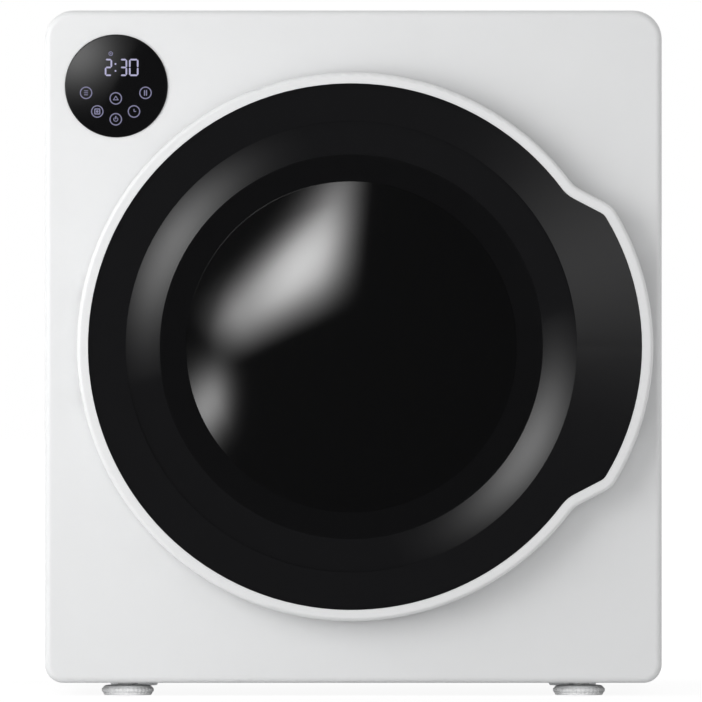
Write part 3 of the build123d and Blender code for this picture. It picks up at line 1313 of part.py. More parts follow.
def foot_pad(x, y):
    """The moulded foot, widest a little above its lower edge, with a socket for the stem."""
    sole = FOOT_PAD_R - FOOT_BULGE
    profile = [
        (0, 0),
        (sole, 0),
        (FOOT_PAD_R, FOOT_BULGE_LOW),
        (FOOT_PAD_R, FOOT_BULGE_HIGH),
        (sole, FOOT_PAD_HEIGHT - FOOT_SHOULDER_DROP),
        (FOOT_NECK_R, FOOT_PAD_HEIGHT),
        (0, FOOT_PAD_HEIGHT),
    ]
    pad = revolve(Plane.XZ * make_face(Polyline(*profile, close=True)), Axis.Z)
    socket = post(FOOT_STEM_R + RUNNING, FOOT_PAD_HEIGHT - FOOT_SOCKET, FOOT_PAD_HEIGHT, 0, 0)
    return Pos(x, y, 0) * (pad - socket)


def foot_stem(x, y):
    """The threaded stem with the hexagon that turns it."""
    bottom = FOOT_PAD_HEIGHT - FOOT_SOCKET + AIR
    hexagon_base = FOOT_PAD_HEIGHT + AIR
    stem = post(FOOT_STEM_R, bottom, bottom + FOOT_STEM_LENGTH, x, y)
    hexagon = extrude(RegularPolygon(FOOT_HEX / 2, 6, major_radius=False), amount=CABINET_FLOOR - AIR - hexagon_base)
    return stem + Pos(x, y, hexagon_base) * hexagon


def parts():
    """Every node by name."""
    makers = [
        cabinet_shell, front_panel, back_panel, base_plate, front_bulkhead, rear_bulkhead, mouth_tunnel,
        front_felt_seal, rear_felt_seal, exhaust_collar, cord_gland, cabinet_screws, control_lens,
        control_housing, control_board, door_rim, door_trim, door_window, door_inner_panel, door_gasket,
        hinge_leaf, hinge_bracket, hinge_pin, door_magnet, strike_plate, door_screws, hinge_screws,
        door_switch, switch_plunger, drum_shell, drum_back, drum_baffles, drum_shaft, drum_bearing,
        heater_housing, heater_coil, thermostat, drum_belt, motor_body, motor_shaft, motor_pulley, fan_wheel,
        fan_housing, exhaust_duct, drive_bracket, idler_arm, idler_pulley, idler_spring, run_capacitor,
        lint_filter_frame, lint_filter_screen, air_duct,
    ]
    made = {maker.__name__: maker() for maker in makers}
    for place, (x, y) in foot_places().items():
        made["foot_pad_" + place] = foot_pad(x, y)
        made["foot_stem_" + place] = foot_stem(x, y)
    return made


os.makedirs("parts", exist_ok=True)
for name, shape in parts().items():
    solids = shape if isinstance(shape, list) else shape.solids()
    export_step(Compound(children=list(solids)), "parts/" + name + ".step")
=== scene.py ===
import math

import bpy
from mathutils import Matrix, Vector
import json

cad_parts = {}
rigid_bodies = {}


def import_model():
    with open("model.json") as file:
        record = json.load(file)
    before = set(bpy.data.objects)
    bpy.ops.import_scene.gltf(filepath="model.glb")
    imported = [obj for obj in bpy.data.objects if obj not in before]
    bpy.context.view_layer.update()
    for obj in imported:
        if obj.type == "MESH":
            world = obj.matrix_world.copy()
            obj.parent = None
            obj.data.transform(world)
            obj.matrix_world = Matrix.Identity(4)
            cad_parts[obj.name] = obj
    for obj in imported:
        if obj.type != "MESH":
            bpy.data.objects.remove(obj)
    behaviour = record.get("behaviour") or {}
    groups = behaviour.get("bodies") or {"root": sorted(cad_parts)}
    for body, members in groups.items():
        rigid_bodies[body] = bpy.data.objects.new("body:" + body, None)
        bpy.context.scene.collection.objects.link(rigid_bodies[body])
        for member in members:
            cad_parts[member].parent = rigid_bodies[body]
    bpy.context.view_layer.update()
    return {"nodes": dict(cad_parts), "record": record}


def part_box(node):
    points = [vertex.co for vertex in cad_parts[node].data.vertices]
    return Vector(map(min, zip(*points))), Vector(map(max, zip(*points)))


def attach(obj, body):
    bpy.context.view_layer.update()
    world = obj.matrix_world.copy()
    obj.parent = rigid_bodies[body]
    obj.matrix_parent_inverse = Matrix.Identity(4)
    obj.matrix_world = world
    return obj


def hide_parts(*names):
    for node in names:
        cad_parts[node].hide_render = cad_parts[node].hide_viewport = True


# The looks of a compact clothes dryer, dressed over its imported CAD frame.
# Metres, +Z up, the front faces -Y.
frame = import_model()

MM = 0.001

# Camera
CAMERA_DISTANCE = 14.0       # from the panel's face
VIEW_WIDTH = 0.6826          # what the picture spans at the panel's face
AIM_X = -0.0023
AIM_Z = 0.3353

# The lamps, which are squares
LAMP_TARGET = (0.0, -0.25, 0.33)
KEY_PLACE = (-1.75, -1.7, 0.6)
KEY_SIZE = 2.2
KEY_POWER = 44.0
FILL_PLACE = (1.7, -1.9, 0.6)
FILL_SIZE = 1.6
FILL_POWER = 5.5
FOOT_FILL_PLACE = (-0.3, -2.4, 0.5)
FOOT_FILL_TARGET = (0.0, -0.2, 0.0)
FOOT_FILL_SIZE = 3.2
FOOT_FILL_POWER = 75.0

# The white world and floor. Gloss and glass see them dim in front of the object.
AMBIENT = 0.45               # what the world sheds on matt surfaces
STUDIO_DIM = 0.03
WORLD_TURN = (-0.1, 0.35)    # the Y of a direction, from where it is dim to where it is white
FLOOR_TURN = (-0.4, 0.6)     # the same for the Y of a point of the floor
FLOOR_HALF = 40.0
FLOOR_WHITE = 0.9
FLOOR_LIFT = 1.08            # brings the camera's floor back to white
SHADOW_SHARE = 0.15          # how much of the floor's shading the camera sees at the object
SHADOW_FADE = (0.4, 1.0)     # how far from the origin that share falls to none

# The door's face, as radii about its axis, and the lights seen in it
FLAT_RING_RADIUS = 0.1865
BEVEL_OUTER_RADIUS = 0.219
BEVEL_TILT = math.radians(15.3)
BEVEL_ANGLES = (150, 330)    # where round the door its two highlights are
BEVEL_BRIGHT_RADIUS = 0.195
BEVEL_SPREAD = math.radians(21)
BEVEL_FADE = 0.025
BEVEL_STRENGTH = 4.3
BEVEL_GLOW_DISTANCE = 0.8
BEVEL_GLOW_HALF = 0.17
BEVEL_MATCH = math.cos(math.radians(8))   # how nearly a facet has to lie along the bevel
SLANTED = (0.951, 0.9135)    # how square a ray is to the panels that only the bevel shows
SHEEN_ANGLE = math.radians(20.5)
SHEEN_SPREAD = math.radians(21.5)
SHEEN_STRENGTH = 0.78
SHEEN_DISTANCE = 1.0
SHEEN_EDGE = 1.06            # where the sheen is full, in bevel radii
SHEEN_OFFSET = (0.3, 0.16)   # of its panel from the door's axis
SHEEN_HALF = 0.32
STRAIGHT = (0.94, 0.97)      # how square a ray is to the panel that all but the bevel shows
FACE_ROUGHNESS = (0.055, 0.065)

# The domed window and the lights seen in it, from its middle
WINDOW_RISE = 0.011
WINDOW_FLANGE = 0.010
WINDOW_POLE = 0.02           # inside this radius the facets' own normals are used
WINDOW_GLOW_DISTANCE = 1.05
WINDOW_GLOW = [(-0.001, 0.178), (-0.086, 0.096), (-0.136, 0.040), (-0.121, 0.002), (-0.011, 0.055)]
WINDOW_GLOW_MIDDLE = (-0.085, 0.035)
WINDOW_GLOW_HALF = 0.19
WINDOW_GLOW_BLUR = 0.025
WINDOW_GLOW_STRENGTH = 5.2
GLOW_CORE = (-0.048, 0.080)
GLOW_CORE_RADII = (0.060, 0.025)
GLOW_CORE_SLOPE = math.radians(48.6)
GLOW_CORE_STRENGTH = 9.4
SIDE_GLOW = (-0.139, -0.058)
SIDE_GLOW_RADII = (0.017, 0.032)
SIDE_GLOW_SLOPE = math.radians(-9)
SIDE_GLOW_STRENGTH = 6.2

# The light seen in the control lens, from its middle
LENS_GLOW_EDGE = [(0.020, 0.043), (-0.0053, -0.0039)]
LENS_GLOW_CORE = (-0.040, 0.033)
LENS_GLOW_RADII = (0.036, 0.032)
LENS_GLOW_SLOPE = math.radians(20)
LENS_GLOW_STRENGTH = 3.4
LENS_GLOW_DISTANCE = 0.95
LENS_GLOW_HALF = 0.15
LENS_GLOW_REACH = (0.2, 0.1)   # how far past the core its mask goes, to the left and up and down
LENS_GLOW_BLUR = 0.0025

# The lens's figures and touch signs, from its middle
PLATE_WALL = 0.00005
DIGIT_TOP = 0.0264
DIGIT_HEIGHT = 0.0168
DIGIT_STROKE = 0.0016
DIGITS = [("2", -0.0112, 0.0072), ("3", 0.0034, 0.0072), ("0", 0.0123, 0.0093)]   # left edge, width
COLON_X = -0.0008
COLON_SHARES = (0.3, 0.7)      # how far down the figures its dots are
COLON_RADIUS = DIGIT_STROKE * 0.55
SIGN_PLACE = (-0.0054, 0.0314)
SIGN_RADIUS = 0.0022
SIGN_STROKE = 0.0008
SIGN_DOT = 0.0007
TOUCH_RADIUS = 0.0061
TOUCH_STROKE = 0.0011
TOUCH_PLACES = [(-0.0294, -0.0067), (-0.0005, -0.0121), (0.0284, -0.0067),
                (-0.0185, -0.0248), (0.0172, -0.0248), (-0.0005, -0.0324)]

# The screws and feet
SOLIDS_APART = 0.008         # a node's points that are further apart are on separate solids
SHANK_RADIUS = 0.0016
SHANK_CLEAR = 0.003          # points further than this from a screw's axis are on its head
SCREW_SIDES = 24
SCREW_TURNS = 7
CROSS_ARM = 2.0              # the recess's reach along its arms and between them,
CROSS_NOTCH = 0.7            # in its ring's radius
NARROWEST = 0.0001           # the least radius of a ring of points
FOOT_BORE = 0.00515          # the blind hole for the stem
KNURL_CUT = 0.0004
KNURL_LOBES = 36


# ---------------------------------------------------------------- node helpers

def new_material(name):
    """A material with an empty node tree, and its output."""
    material = bpy.data.materials.new(name)
    material.use_nodes = True
    material.node_tree.nodes.clear()
    output = material.node_tree.nodes.new("ShaderNodeOutputMaterial")
    return material, material.node_tree, output


def add(tree, kind, **settings):
    """A node with its properties set."""
    node = tree.nodes.new(kind)
    for key, value in settings.items():
        setattr(node, key, value)
    return node


def put(tree, value, socket):
    """A constant or another node's output, put into a socket."""
    if isinstance(value, bpy.types.NodeSocket):
        tree.links.new(value, socket)
    else:
        socket.default_value = value


def calc(tree, operation, *values):
    """One step of arithmetic."""
    node = add(tree, "ShaderNodeMath", operation=operation)
    for index, value in enumerate(values):
        put(tree, value, node.inputs[index])
    return node.outputs[0]


def remap(tree, value, from_low, from_high, to_low, to_high, smooth=False):
    """A value taken from one range to another, held at its ends."""
    node = add(tree, "ShaderNodeMapRange", interpolation_type="SMOOTHSTEP" if smooth else "LINEAR")
    for socket, given in zip(node.inputs, (value, from_low, from_high, to_low, to_high)):
        put(tree, given, socket)
    return node.outputs[0]


def vector_calc(tree, operation, *values):
    """One step of vector arithmetic, whose result is a vector, a length or a dot product."""
    node = add(tree, "ShaderNodeVectorMath", operation=operation)
    for index, value in enumerate(values):
        put(tree, value, node.inputs[index])
    return node.outputs["Value" if operation in ("LENGTH", "DOT_PRODUCT") else "Vector"]


def place(tree, scale=(1, 1, 1)):
    """The frame's own coordinates, stretched by a scale."""
    mapping = add(tree, "ShaderNodeMapping")
    put(tree, add(tree, "ShaderNodeTexCoord").outputs["Object"], mapping.inputs["Vector"])
    put(tree, scale, mapping.inputs["Scale"])
    return mapping.outputs["Vector"]


def parts_of(tree, vector):
    """A vector's X, Y and Z, by name."""
    node = add(tree, "ShaderNodeSeparateXYZ")
    put(tree, vector, node.inputs["Vector"])
    return node.outputs


def noise(tree, scale, detail=3.0, roughness=0.55, stretch=(1, 1, 1)):
    """Noise from 0 to 1, with a scale in features per metre."""
    node = add(tree, "ShaderNodeTexNoise")
    tree.links.new(place(tree, stretch), node.inputs["Vector"])
    node.inputs["Scale"].default_value = scale
    node.inputs["Detail"].default_value = detail
    node.inputs["Roughness"].default_value = roughness
    return node.outputs["Fac"]


def mix(tree, kind, factor, first, second, **settings):
    """Two colours or vectors blended by a factor."""
    node = add(tree, "ShaderNodeMix", data_type=kind, **settings)
    for name, value in (("Factor", factor), ("A", first), ("B", second)):
        put(tree, value, node.inputs[name])
    return node.outputs["Result"]


def tint(tree, factor, low, high):
    """A colour between two others."""
    return mix(tree, "RGBA", factor, (*low, 1.0), (*high, 1.0))


def relief(tree, height, depth):
    """A bump normal from a height of 0 to 1 and a depth in metres."""
    node = add(tree, "ShaderNodeBump")
    put(tree, height, node.inputs["Height"])
    node.inputs["Distance"].default_value = depth
    node.inputs["Strength"].default_value = 1.0
    return node.outputs["Normal"]


def surface(tree, output, colour, roughness, normal=None, **constants):
    """The principled shader, with its constants on its own sockets."""
    shader = add(tree, "ShaderNodeBsdfPrincipled")
    base = colour if isinstance(colour, bpy.types.NodeSocket) else (*colour, 1.0)
    put(tree, base, shader.inputs["Base Color"])
    put(tree, roughness, shader.inputs["Roughness"])
    if normal is not None:
        put(tree, normal, shader.inputs["Normal"])
    for key, value in constants.items():
        shader.inputs[key.replace("_", " ")].default_value = value
    tree.links.new(shader.outputs["BSDF"], output.inputs["Surface"])
    return shader


def scaled(values, factor):
    """A colour or a pair of lengths times a factor."""
    return tuple(value * factor for value in values)


def middle_of(node):
    """The middle of a node's box, seen from the front."""
    low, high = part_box(node)
    return (low.x + high.x) / 2, (low.z + high.z) / 2


def from_axis(tree, node):
    """The offset in X and Z from the middle of a node's box, and its length."""
    x, z = middle_of(node)
    offset = vector_calc(tree, "MULTIPLY_ADD", place(tree), (1.0, 0.0, 1.0), (-x, 0.0, -z))
    return offset, vector_calc(tree, "LENGTH", offset)


# ---------------------------------------------------------------- finishes

def moulded(name, colour, roughness, grain=1400.0, depth=0.00001):
    """A moulded plastic with a fine grain and a faint cloud in its sheen."""
    material, tree, output = new_material(name)
    cloud = noise(tree, 14.0)
    fine = noise(tree, grain, detail=2.0)
    shade = tint(tree, cloud, scaled(colour, 0.985), scaled(colour, 1.01))
    sheen = remap(tree, cloud, 0.3, 0.7, roughness * 0.93, roughness * 1.07)
    surface(tree, output, shade, sheen, relief(tree, fine, depth))
    return material


def powder_coat(name, colour, roughness):
    """Baked white paint with its soft orange peel."""
    material, tree, output = new_material(name)
    peel = noise(tree, 420.0, detail=2.0)
    cloud = noise(tree, 6.0)
    shade = tint(tree, cloud, scaled(colour, 0.99), scaled(colour, 1.005))
    surface(tree, output, shade, remap(tree, peel, 0.3, 0.7, roughness * 0.95, roughness * 1.05),
            relief(tree, peel, 0.00001))
    return material


def sheet_metal(name, colour, roughness):
    """Galvanised sheet with its spangle."""
    material, tree, output = new_material(name)
    cells = add(tree, "ShaderNodeTexVoronoi")
    tree.links.new(place(tree), cells.inputs["Vector"])
    cells.inputs["Scale"].default_value = 90.0
    value = add(tree, "ShaderNodeSeparateColor")
    tree.links.new(cells.outputs["Color"], value.inputs["Color"])
    spangle = value.outputs[0]
    shade = tint(tree, spangle, scaled(colour, 0.9), scaled(colour, 1.06))
    polish = remap(tree, spangle, 0.0, 1.0, roughness * 0.8, roughness * 1.2)
    surface(tree, output, shade, polish, Metallic=1.0)
    return material


def brushed(name, colour, roughness, stretch):
    """Metal with a fine grain, which is drawn out into lines along any small stretch."""
    material, tree, output = new_material(name)
    lines = noise(tree, 900.0, detail=2.0, stretch=stretch)
    shade = tint(tree, lines, scaled(colour, 0.92), scaled(colour, 1.05))
    surface(tree, output, shade, remap(tree, lines, 0.3, 0.7, roughness * 0.8, roughness * 1.25),
            relief(tree, lines, 0.000006), Metallic=1.0)
    return material


def rubber(name, colour, roughness):
    """Matt rubber with a dusty bloom."""
    material, tree, output = new_material(name)
    bloom = noise(tree, 60.0, detail=4.0)
    grain = noise(tree, 1800.0)
    shade = tint(tree, bloom, scaled(colour, 0.85), scaled(colour, 1.2))
    surface(tree, output, shade, roughness, relief(tree, grain, 0.00002))
    return material


def wool_felt(name, colour):
    """Felt with crossing fibres."""
    material, tree, output = new_material(name)
    fibres = noise(tree, 2600.0, detail=4.0, roughness=0.7, stretch=(1, 0.35, 1))
    shade = tint(tree, fibres, scaled(colour, 0.7), scaled(colour, 1.2))
    surface(tree, output, shade, 0.95, relief(tree, fibres, 0.0002), Sheen_Weight=0.3)
    return material


def gloss_black(name, colour, roughness):
    """Polished black plastic with faint wear in its shade and its gloss."""
    material, tree, output = new_material(name)
    wear = noise(tree, 30.0, detail=5.0, roughness=0.65)
    shade = tint(tree, wear, scaled(colour, 0.9), scaled(colour, 1.1))
    surface(tree, output, shade, remap(tree, wear, 0.35, 0.65, roughness * 0.95, roughness * 1.05))
    return material


def face_black(name, colour):
    """The door's black face: glossy all over, with painted shade in its colour, darker on the recessed
    flat ring inside the bevel and lighter on the bevel and beyond; the bevel has its own normal.
    """
    material, tree, output = new_material(name)
    offset, radius = from_axis(tree, "door_window")
    past_flat = remap(tree, radius, FLAT_RING_RADIUS - MM, FLAT_RING_RADIUS + MM, 0.0, 1.0)
    past_bevel = remap(tree, radius, BEVEL_OUTER_RADIUS - MM, BEVEL_OUTER_RADIUS + MM, 0.0, 1.0)
    on_bevel = calc(tree, "SUBTRACT", past_flat, past_bevel)
    wear = noise(tree, 30.0, detail=5.0, roughness=0.65)
    # Painted shade: the recessed flat ring is coloured darker, and the bevel and the face beyond it
    # lighter
    shade = tint(tree, past_flat, scaled(colour, 0.75), scaled(colour, 1.3))
    worn = tint(tree, wear, (0.9, 0.9, 0.9), (1.0, 1.0, 1.0))
    both = mix(tree, "RGBA", 1.0, shade, worn, blend_type="MULTIPLY")
    polish = remap(tree, wear, 0.35, 0.65, *FACE_ROUGHNESS)
    surface(tree, output, both, polish, cone_normal(tree, offset, on_bevel))
    return material


def cone_normal(tree, outward, on_cone):
    """The bevel's own normal where the mesh's facets lie along it, and the mesh's normal elsewhere."""
    lean = -math.sin(BEVEL_TILT)
    leaning = vector_calc(tree, "MULTIPLY_ADD", vector_calc(tree, "NORMALIZE", outward),
                          (lean, 0.0, lean), (0.0, -math.cos(BEVEL_TILT), 0.0))
    to_world = add(tree, "ShaderNodeVectorTransform", vector_type="NORMAL",
                   convert_from="OBJECT", convert_to="WORLD")
    put(tree, leaning, to_world.inputs[0])
    cone = to_world.outputs[0]
    geometry = add(tree, "ShaderNodeNewGeometry").outputs
    match = vector_calc(tree, "DOT_PRODUCT", cone, geometry["True Normal"])
    along = calc(tree, "GREATER_THAN", match, BEVEL_MATCH)
    return mix(tree, "VECTOR", calc(tree, "MULTIPLY", on_cone, along), geometry["Normal"], cone)


def smoked_glass(name, tint_colour):
    """Deeply tinted glass with a faint smear in its polish, and plain facets at its dome's pole."""
    material, tree, output = new_material(name)
    smear = noise(tree, 9.0)
    _, radius = from_axis(tree, "door_window")
    geometry = add(tree, "ShaderNodeNewGeometry").outputs
    off_pole = calc(tree, "GREATER_THAN", radius, WINDOW_POLE)
    normal = mix(tree, "VECTOR", off_pole, geometry["True Normal"], geometry["Normal"])
    surface(tree, output, tint_colour, remap(tree, smear, 0.3, 0.7, 0.03, 0.05), normal,
            Transmission_Weight=0.6, IOR=1.5)
    return material


def woven_screen(name, colour):
    """A fine mesh: threads both ways, mostly clear between them."""
    material, tree, output = new_material(name)
    pitch = 0.0008
    sections = []
    for direction in ("X", "Z"):
        wave = add(tree, "ShaderNodeTexWave", bands_direction=direction)
        put(tree, place(tree), wave.inputs["Vector"])
        wave.inputs["Scale"].default_value = math.tau / 20 / pitch
        sections.append(wave.outputs["Fac"])
    thread = calc(tree, "MAXIMUM", *sections)
    opacity = remap(tree, thread, 0.45, 0.6, 0.25, 1.0)
    shader = surface(tree, output, colour, 0.5, relief(tree, thread, 0.0001))
    tree.links.new(opacity, shader.inputs["Alpha"])
    return material


def glowing(name, colour, strength):
    """A lit sign on the lens, with a faint flicker across it."""
    material, tree, output = new_material(name)
    flicker = noise(tree, 700.0)
    level = remap(tree, flicker, 0.3, 0.7, strength * 0.9, strength * 1.1)
    shader = surface(tree, output, scaled(colour, 0.1), 0.4)
    shader.inputs["Emission Color"].default_value = (*colour, 1.0)
    tree.links.new(level, shader.inputs["Emission Strength"])
    return material


def make_finishes():
    """One material for each of the record's slots."""
    colours = {row["slot"]: tuple(row["base_color"][:3]) for row in frame["record"]["materials"]}

    def of(slot):
        return slot, colours[slot]

    return {
        "cabinet_paint": powder_coat(*of("cabinet_paint"), 0.38),
        "panel_white": moulded(*of("panel_white"), 0.42),
        "rim_white": moulded(*of("rim_white"), 0.3, grain=900.0, depth=0.000004),
        "door_black": face_black(*of("door_black")),
        "window_glass": smoked_glass("window_glass", (0.009, 0.009, 0.0095)),
        "lens_black": gloss_black("lens_black", scaled(colours["lens_black"], 0.45), 0.04),
        "liner_grey": moulded(*of("liner_grey"), 0.45),
        "gasket_rubber": rubber(*of("gasket_rubber"), 0.7),
        "felt": wool_felt(*of("felt")),
        "galvanised": sheet_metal(*of("galvanised"), 0.4),
        "steel": brushed(*of("steel"), 0.3, (1, 1, 0.05)),
        "drum_steel": brushed(*of("drum_steel"), 0.28, (1, 0.03, 1)),
        "baffle_plastic": moulded(*of("baffle_plastic"), 0.4),
        "motor_case": brushed(*of("motor_case"), 0.45, (1, 1, 1)),
        "fan_plastic": moulded(*of("fan_plastic"), 0.5),
        "duct_plastic": moulded(*of("duct_plastic"), 0.5),
        "belt_rubber": rubber(*of("belt_rubber"), 0.6),
        "heater_metal": brushed(*of("heater_metal"), 0.5, (1, 1, 1)),
        "board_green": moulded(*of("board_green"), 0.35, grain=500.0),
        "screen_mesh": woven_screen(*of("screen_mesh")),
        "foot_plastic": moulded(*of("foot_plastic"), 0.5, grain=500.0, depth=0.00006),
        "magnet_black": moulded(*of("magnet_black"), 0.5),
    }


def dress_nodes(finishes):
    """Each CAD node wears its slot's material."""
    for part in frame["record"]["subparts"]:
        mesh = frame["nodes"][part["node"]].data
        mesh.materials.clear()
        mesh.materials.append(finishes[part["material_slot"]])


# ---------------------------------------------------------------- pieces

def piece(name, vertices, faces, material):
    """A mesh of one material, as an object of the scene."""
    mesh = bpy.data.meshes.new(name)
    mesh.from_pydata(vertices, [], faces)
    mesh.materials.append(material)
    mesh.update()
    made = bpy.data.objects.new(name, mesh)
    bpy.context.scene.collection.objects.link(made)
    return made


def round_point(centre, radius, angle):
    """A point on a circle."""
    return centre[0] + radius * math.cos(angle), centre[1] + radius * math.sin(angle)


class Plates:
    """Thin raised outlines on one plane that faces the front."""

    def __init__(self, origin, wall):
        self.x, self.y, self.z = origin
        self.wall = wall
        self.vertices = []
        self.faces = []

    def outline(self, points):
        """A filled outline, given anticlockwise as seen from the front."""
        start = len(self.vertices)
        count = len(points)
        for y in (self.y - self.wall, self.y):
            self.vertices += [(self.x + x, y, self.z + z) for x, z in points]
        self.faces.append(tuple(start + index for index in range(count)))
        self.faces.append(tuple(start + count + index for index in reversed(range(count))))
        for index in range(count):
            near = start + index
            after = start + (index + 1) % count
            self.faces.append((after, near, near + count, after + count))

    def bar(self, first, last, stroke):
        """A straight stroke with pointed ends."""
        run = Vector((last[0] - first[0], last[1] - first[1])).normalized() * stroke / 2
        across = Vector((-run.y, run.x))
        start = Vector(first)
        end = Vector(last)
        self.outline([tuple(point) for point in (
            start - run, start - across, end - across, end + run, end + across, start + across)])

    def arc(self, centre, radius, stroke, from_degrees=0.0, to_degrees=360.0, steps=36):
        """A ring, or a part of one, in short quadrilaterals."""
        inner = radius - stroke

        def angle(step):
            return math.radians(from_degrees + (to_degrees - from_degrees) * step / steps)

        for index in range(steps):
            first = angle(index)
            last = angle(index + 1)
            ends = ((first, inner), (first, radius), (last, radius), (last, inner))
            self.outline([round_point(centre, reach, end) for end, reach in ends])

    def disc(self, centre, radius, sides=16):
        """A filled circle."""
        self.outline([round_point(centre, radius, math.tau * index / sides) for index in range(sides)])

    def made(self, name, material):
        """The outlines as one piece."""
        return piece(name, self.vertices, self.faces, material)


# Which of the seven strokes each figure lights: top, middle and bottom,
# then the upper and lower left, and the upper and lower right
STROKES = {
    "0": (1, 0, 1, 1, 1, 1, 1),
    "2": (1, 1, 1, 0, 1, 1, 0),
    "3": (1, 1, 1, 0, 0, 1, 1),
}


def add_digit(plates, figure, left, width):
    """A seven-stroke figure."""
    inset = DIGIT_STROKE / 2
    low_x = left + inset
    high_x = left + width - inset
    top = DIGIT_TOP - inset
    bottom = DIGIT_TOP - DIGIT_HEIGHT + inset
    middle = (top + bottom) / 2
    gap = DIGIT_STROKE * 0.6
    lit = STROKES[figure]
    for z, on in zip((top, middle, bottom), lit[:3]):
        if on:
            plates.bar((low_x + gap, z), (high_x - gap, z), DIGIT_STROKE)
    uprights = [(x, *ends) for x in (low_x, high_x) for ends in ((top, middle), (middle, bottom))]
    for (x, upper, lower), on in zip(uprights, lit[3:]):
        if on:
            plates.bar((x, upper - gap), (x, lower + gap), DIGIT_STROKE)


def add_display():
    """The lit figures and the touch signs on the control lens."""
    x, z = middle_of("control_lens")
    origin = (x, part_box("control_lens")[0].y, z)
    figures = Plates(origin, PLATE_WALL)
    for figure, left, width in DIGITS:
        add_digit(figures, figure, left, width)
    for share in COLON_SHARES:
        figures.disc((COLON_X, DIGIT_TOP - DIGIT_HEIGHT * share), COLON_RADIUS)
    display_white = glowing("display_white", (0.6, 0.58, 0.84), 0.66)
    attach(figures.made("display_figures", display_white), "cabinet")
    signs = Plates(origin, PLATE_WALL)
    for centre in TOUCH_PLACES:
        signs.arc(centre, TOUCH_RADIUS, TOUCH_STROKE)
    add_glyphs(signs)
    signs.arc(SIGN_PLACE, SIGN_RADIUS, SIGN_STROKE, steps=18)
    signs.disc(SIGN_PLACE, SIGN_DOT)
    sign_lavender = glowing("sign_lavender", (0.3, 0.29, 0.46), 0.6)
    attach(signs.made("touch_signs", sign_lavender), "cabinet")


def add_glyphs(signs):
    """Plain signs inside the rings: heat, a rack, a pause, a drum, time and power."""
    fine = 0.0008
    reach = 0.0024
    heat, rack, pause, drum, time, power = TOUCH_PLACES
    x, z = heat
    for step in (-1, 0, 1):
        height = z + step * reach * 0.8
        signs.bar((x - reach * 0.7, height), (x + reach * 0.7, height), fine)
    x, z = rack
    signs.bar((x - reach, z - reach * 0.6), (x + reach, z - reach * 0.6), fine)
    for side in (-1, 1):
        signs.bar((x + side * reach, z - reach * 0.6), (x, z + reach * 0.9), fine)
    x, z = pause
    for side in (-1, 1):
        signs.bar((x + side * reach * 0.4, z - reach), (x + side * reach * 0.4, z + reach), fine * 1.4)
    x, z = drum
    for side in (-1, 1):
        signs.bar((x + side * reach, z - reach), (x + side * reach, z + reach), fine * 1.5)
        signs.bar((x - reach, z + side * reach), (x + reach, z + side * reach), fine * 1.5)
    signs.disc(drum, reach * 0.55)
    x, z = time
    signs.bar((x, z), (x, z + reach), fine)
    signs.bar((x, z), (x + reach * 0.8, z), fine)
    x, z = power
    signs.arc((x, z), reach, fine, 130, 410, steps=18)
    signs.bar((x, z + reach * 0.2), (x, z + reach * 1.2), fine * 1.6)


def loose_parts(node):
    """Each of a node's solids, which stand well apart in X and Z, as its box and its points."""
    groups = []
    for vertex in frame["nodes"][node].data.vertices:
        point = vertex.co
        for group in groups:
            if math.hypot(group[0].x - point.x, group[0].z - point.z) < SOLIDS_APART:
                group.append(point)
                break
        else:
            groups.append([point])
    boxes = []
    for group in groups:
        low = Vector([min(point[axis] for point in group) for axis in range(3)])
        high = Vector([max(point[axis] for point in group) for axis in range(3)])
        boxes.append((low, high, group))
    return boxes


def ring_faces(rings, sides, start=0):
    """The faces between rings of points, and the two that close the first and the last ring."""
    faces = []
    for ring in range(rings - 1):
        first = start + ring * sides
        for side in range(sides):
            near = first + side
            after = first + (side + 1) % sides
            faces.append((after, near, near + sides, after + sides))
    last = start + (rings - 1) * sides
    faces.append(tuple(range(start, start + sides)))
    faces.append(tuple(reversed(range(last, last + sides))))
    return faces


def screw_profile(radius, head, length):
    """Radius and height of a pan-head screw, from the middle of its recess to its point."""
    points = [(radius * 0.25, head * 0.35), (radius * 0.3, head), (radius * 0.62, head)]
    points += [(radius * (0.62 + 0.38 * math.sin(angle)), head * (0.45 + 0.55 * math.cos(angle)))
               for angle in (math.pi / 6, math.pi / 3, math.pi / 2)]
    points += [(radius, 0.0), (SHANK_RADIUS, 0.0)]
    for turn in range(SCREW_TURNS):
        top = -length * 0.9 * (turn + 0.15) / SCREW_TURNS
        points += [(SHANK_RADIUS * 0.78, top), (SHANK_RADIUS, top - length * 0.45 / SCREW_TURNS)]
    return points + [(SHANK_RADIUS * 0.55, -length * 0.94), (NARROWEST, -length)]


def recess_reach(ring, side, reach):
    """The radius of a screw's point: its first two rings are the floor and the lip of the cross."""
    if ring > 1:
        return reach
    on_arm = side % (SCREW_SIDES // 4) in (0, 1, SCREW_SIDES // 4 - 1)
    return max(reach * (CROSS_ARM if on_arm else CROSS_NOTCH), NARROWEST)


def add_screws(node, body, material):
    """Pan-head screws with a cross recess and a thread, in place of the node's plain ones."""
    vertices = []
    faces = []
    for low, high, points in loose_parts(node):
        centre = (low + high) / 2
        wide = [point.y for point in points
                if math.hypot(point.x - centre.x, point.z - centre.z) > SHANK_CLEAR]
        outward = 1 if (max(wide) + min(wide)) / 2 > centre.y else -1
        seat = min(wide) if outward > 0 else max(wide)
        head = max(wide) - min(wide)
        rings = screw_profile((high.x - low.x) / 2, head, high.y - low.y - head)
        screw = ring_faces(len(rings), SCREW_SIDES, len(vertices))
        faces += screw if outward > 0 else [tuple(reversed(face)) for face in screw]
        for ring, (reach, height) in enumerate(rings):
            for side in range(SCREW_SIDES):
                x, z = round_point((centre.x, centre.z), recess_reach(ring, side, reach),
                                   math.tau * side / SCREW_SIDES)
                vertices.append((x, seat + outward * height, z))
    made = piece(node + "_detailed", vertices, faces, material)
    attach(made, body)
    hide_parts(node)


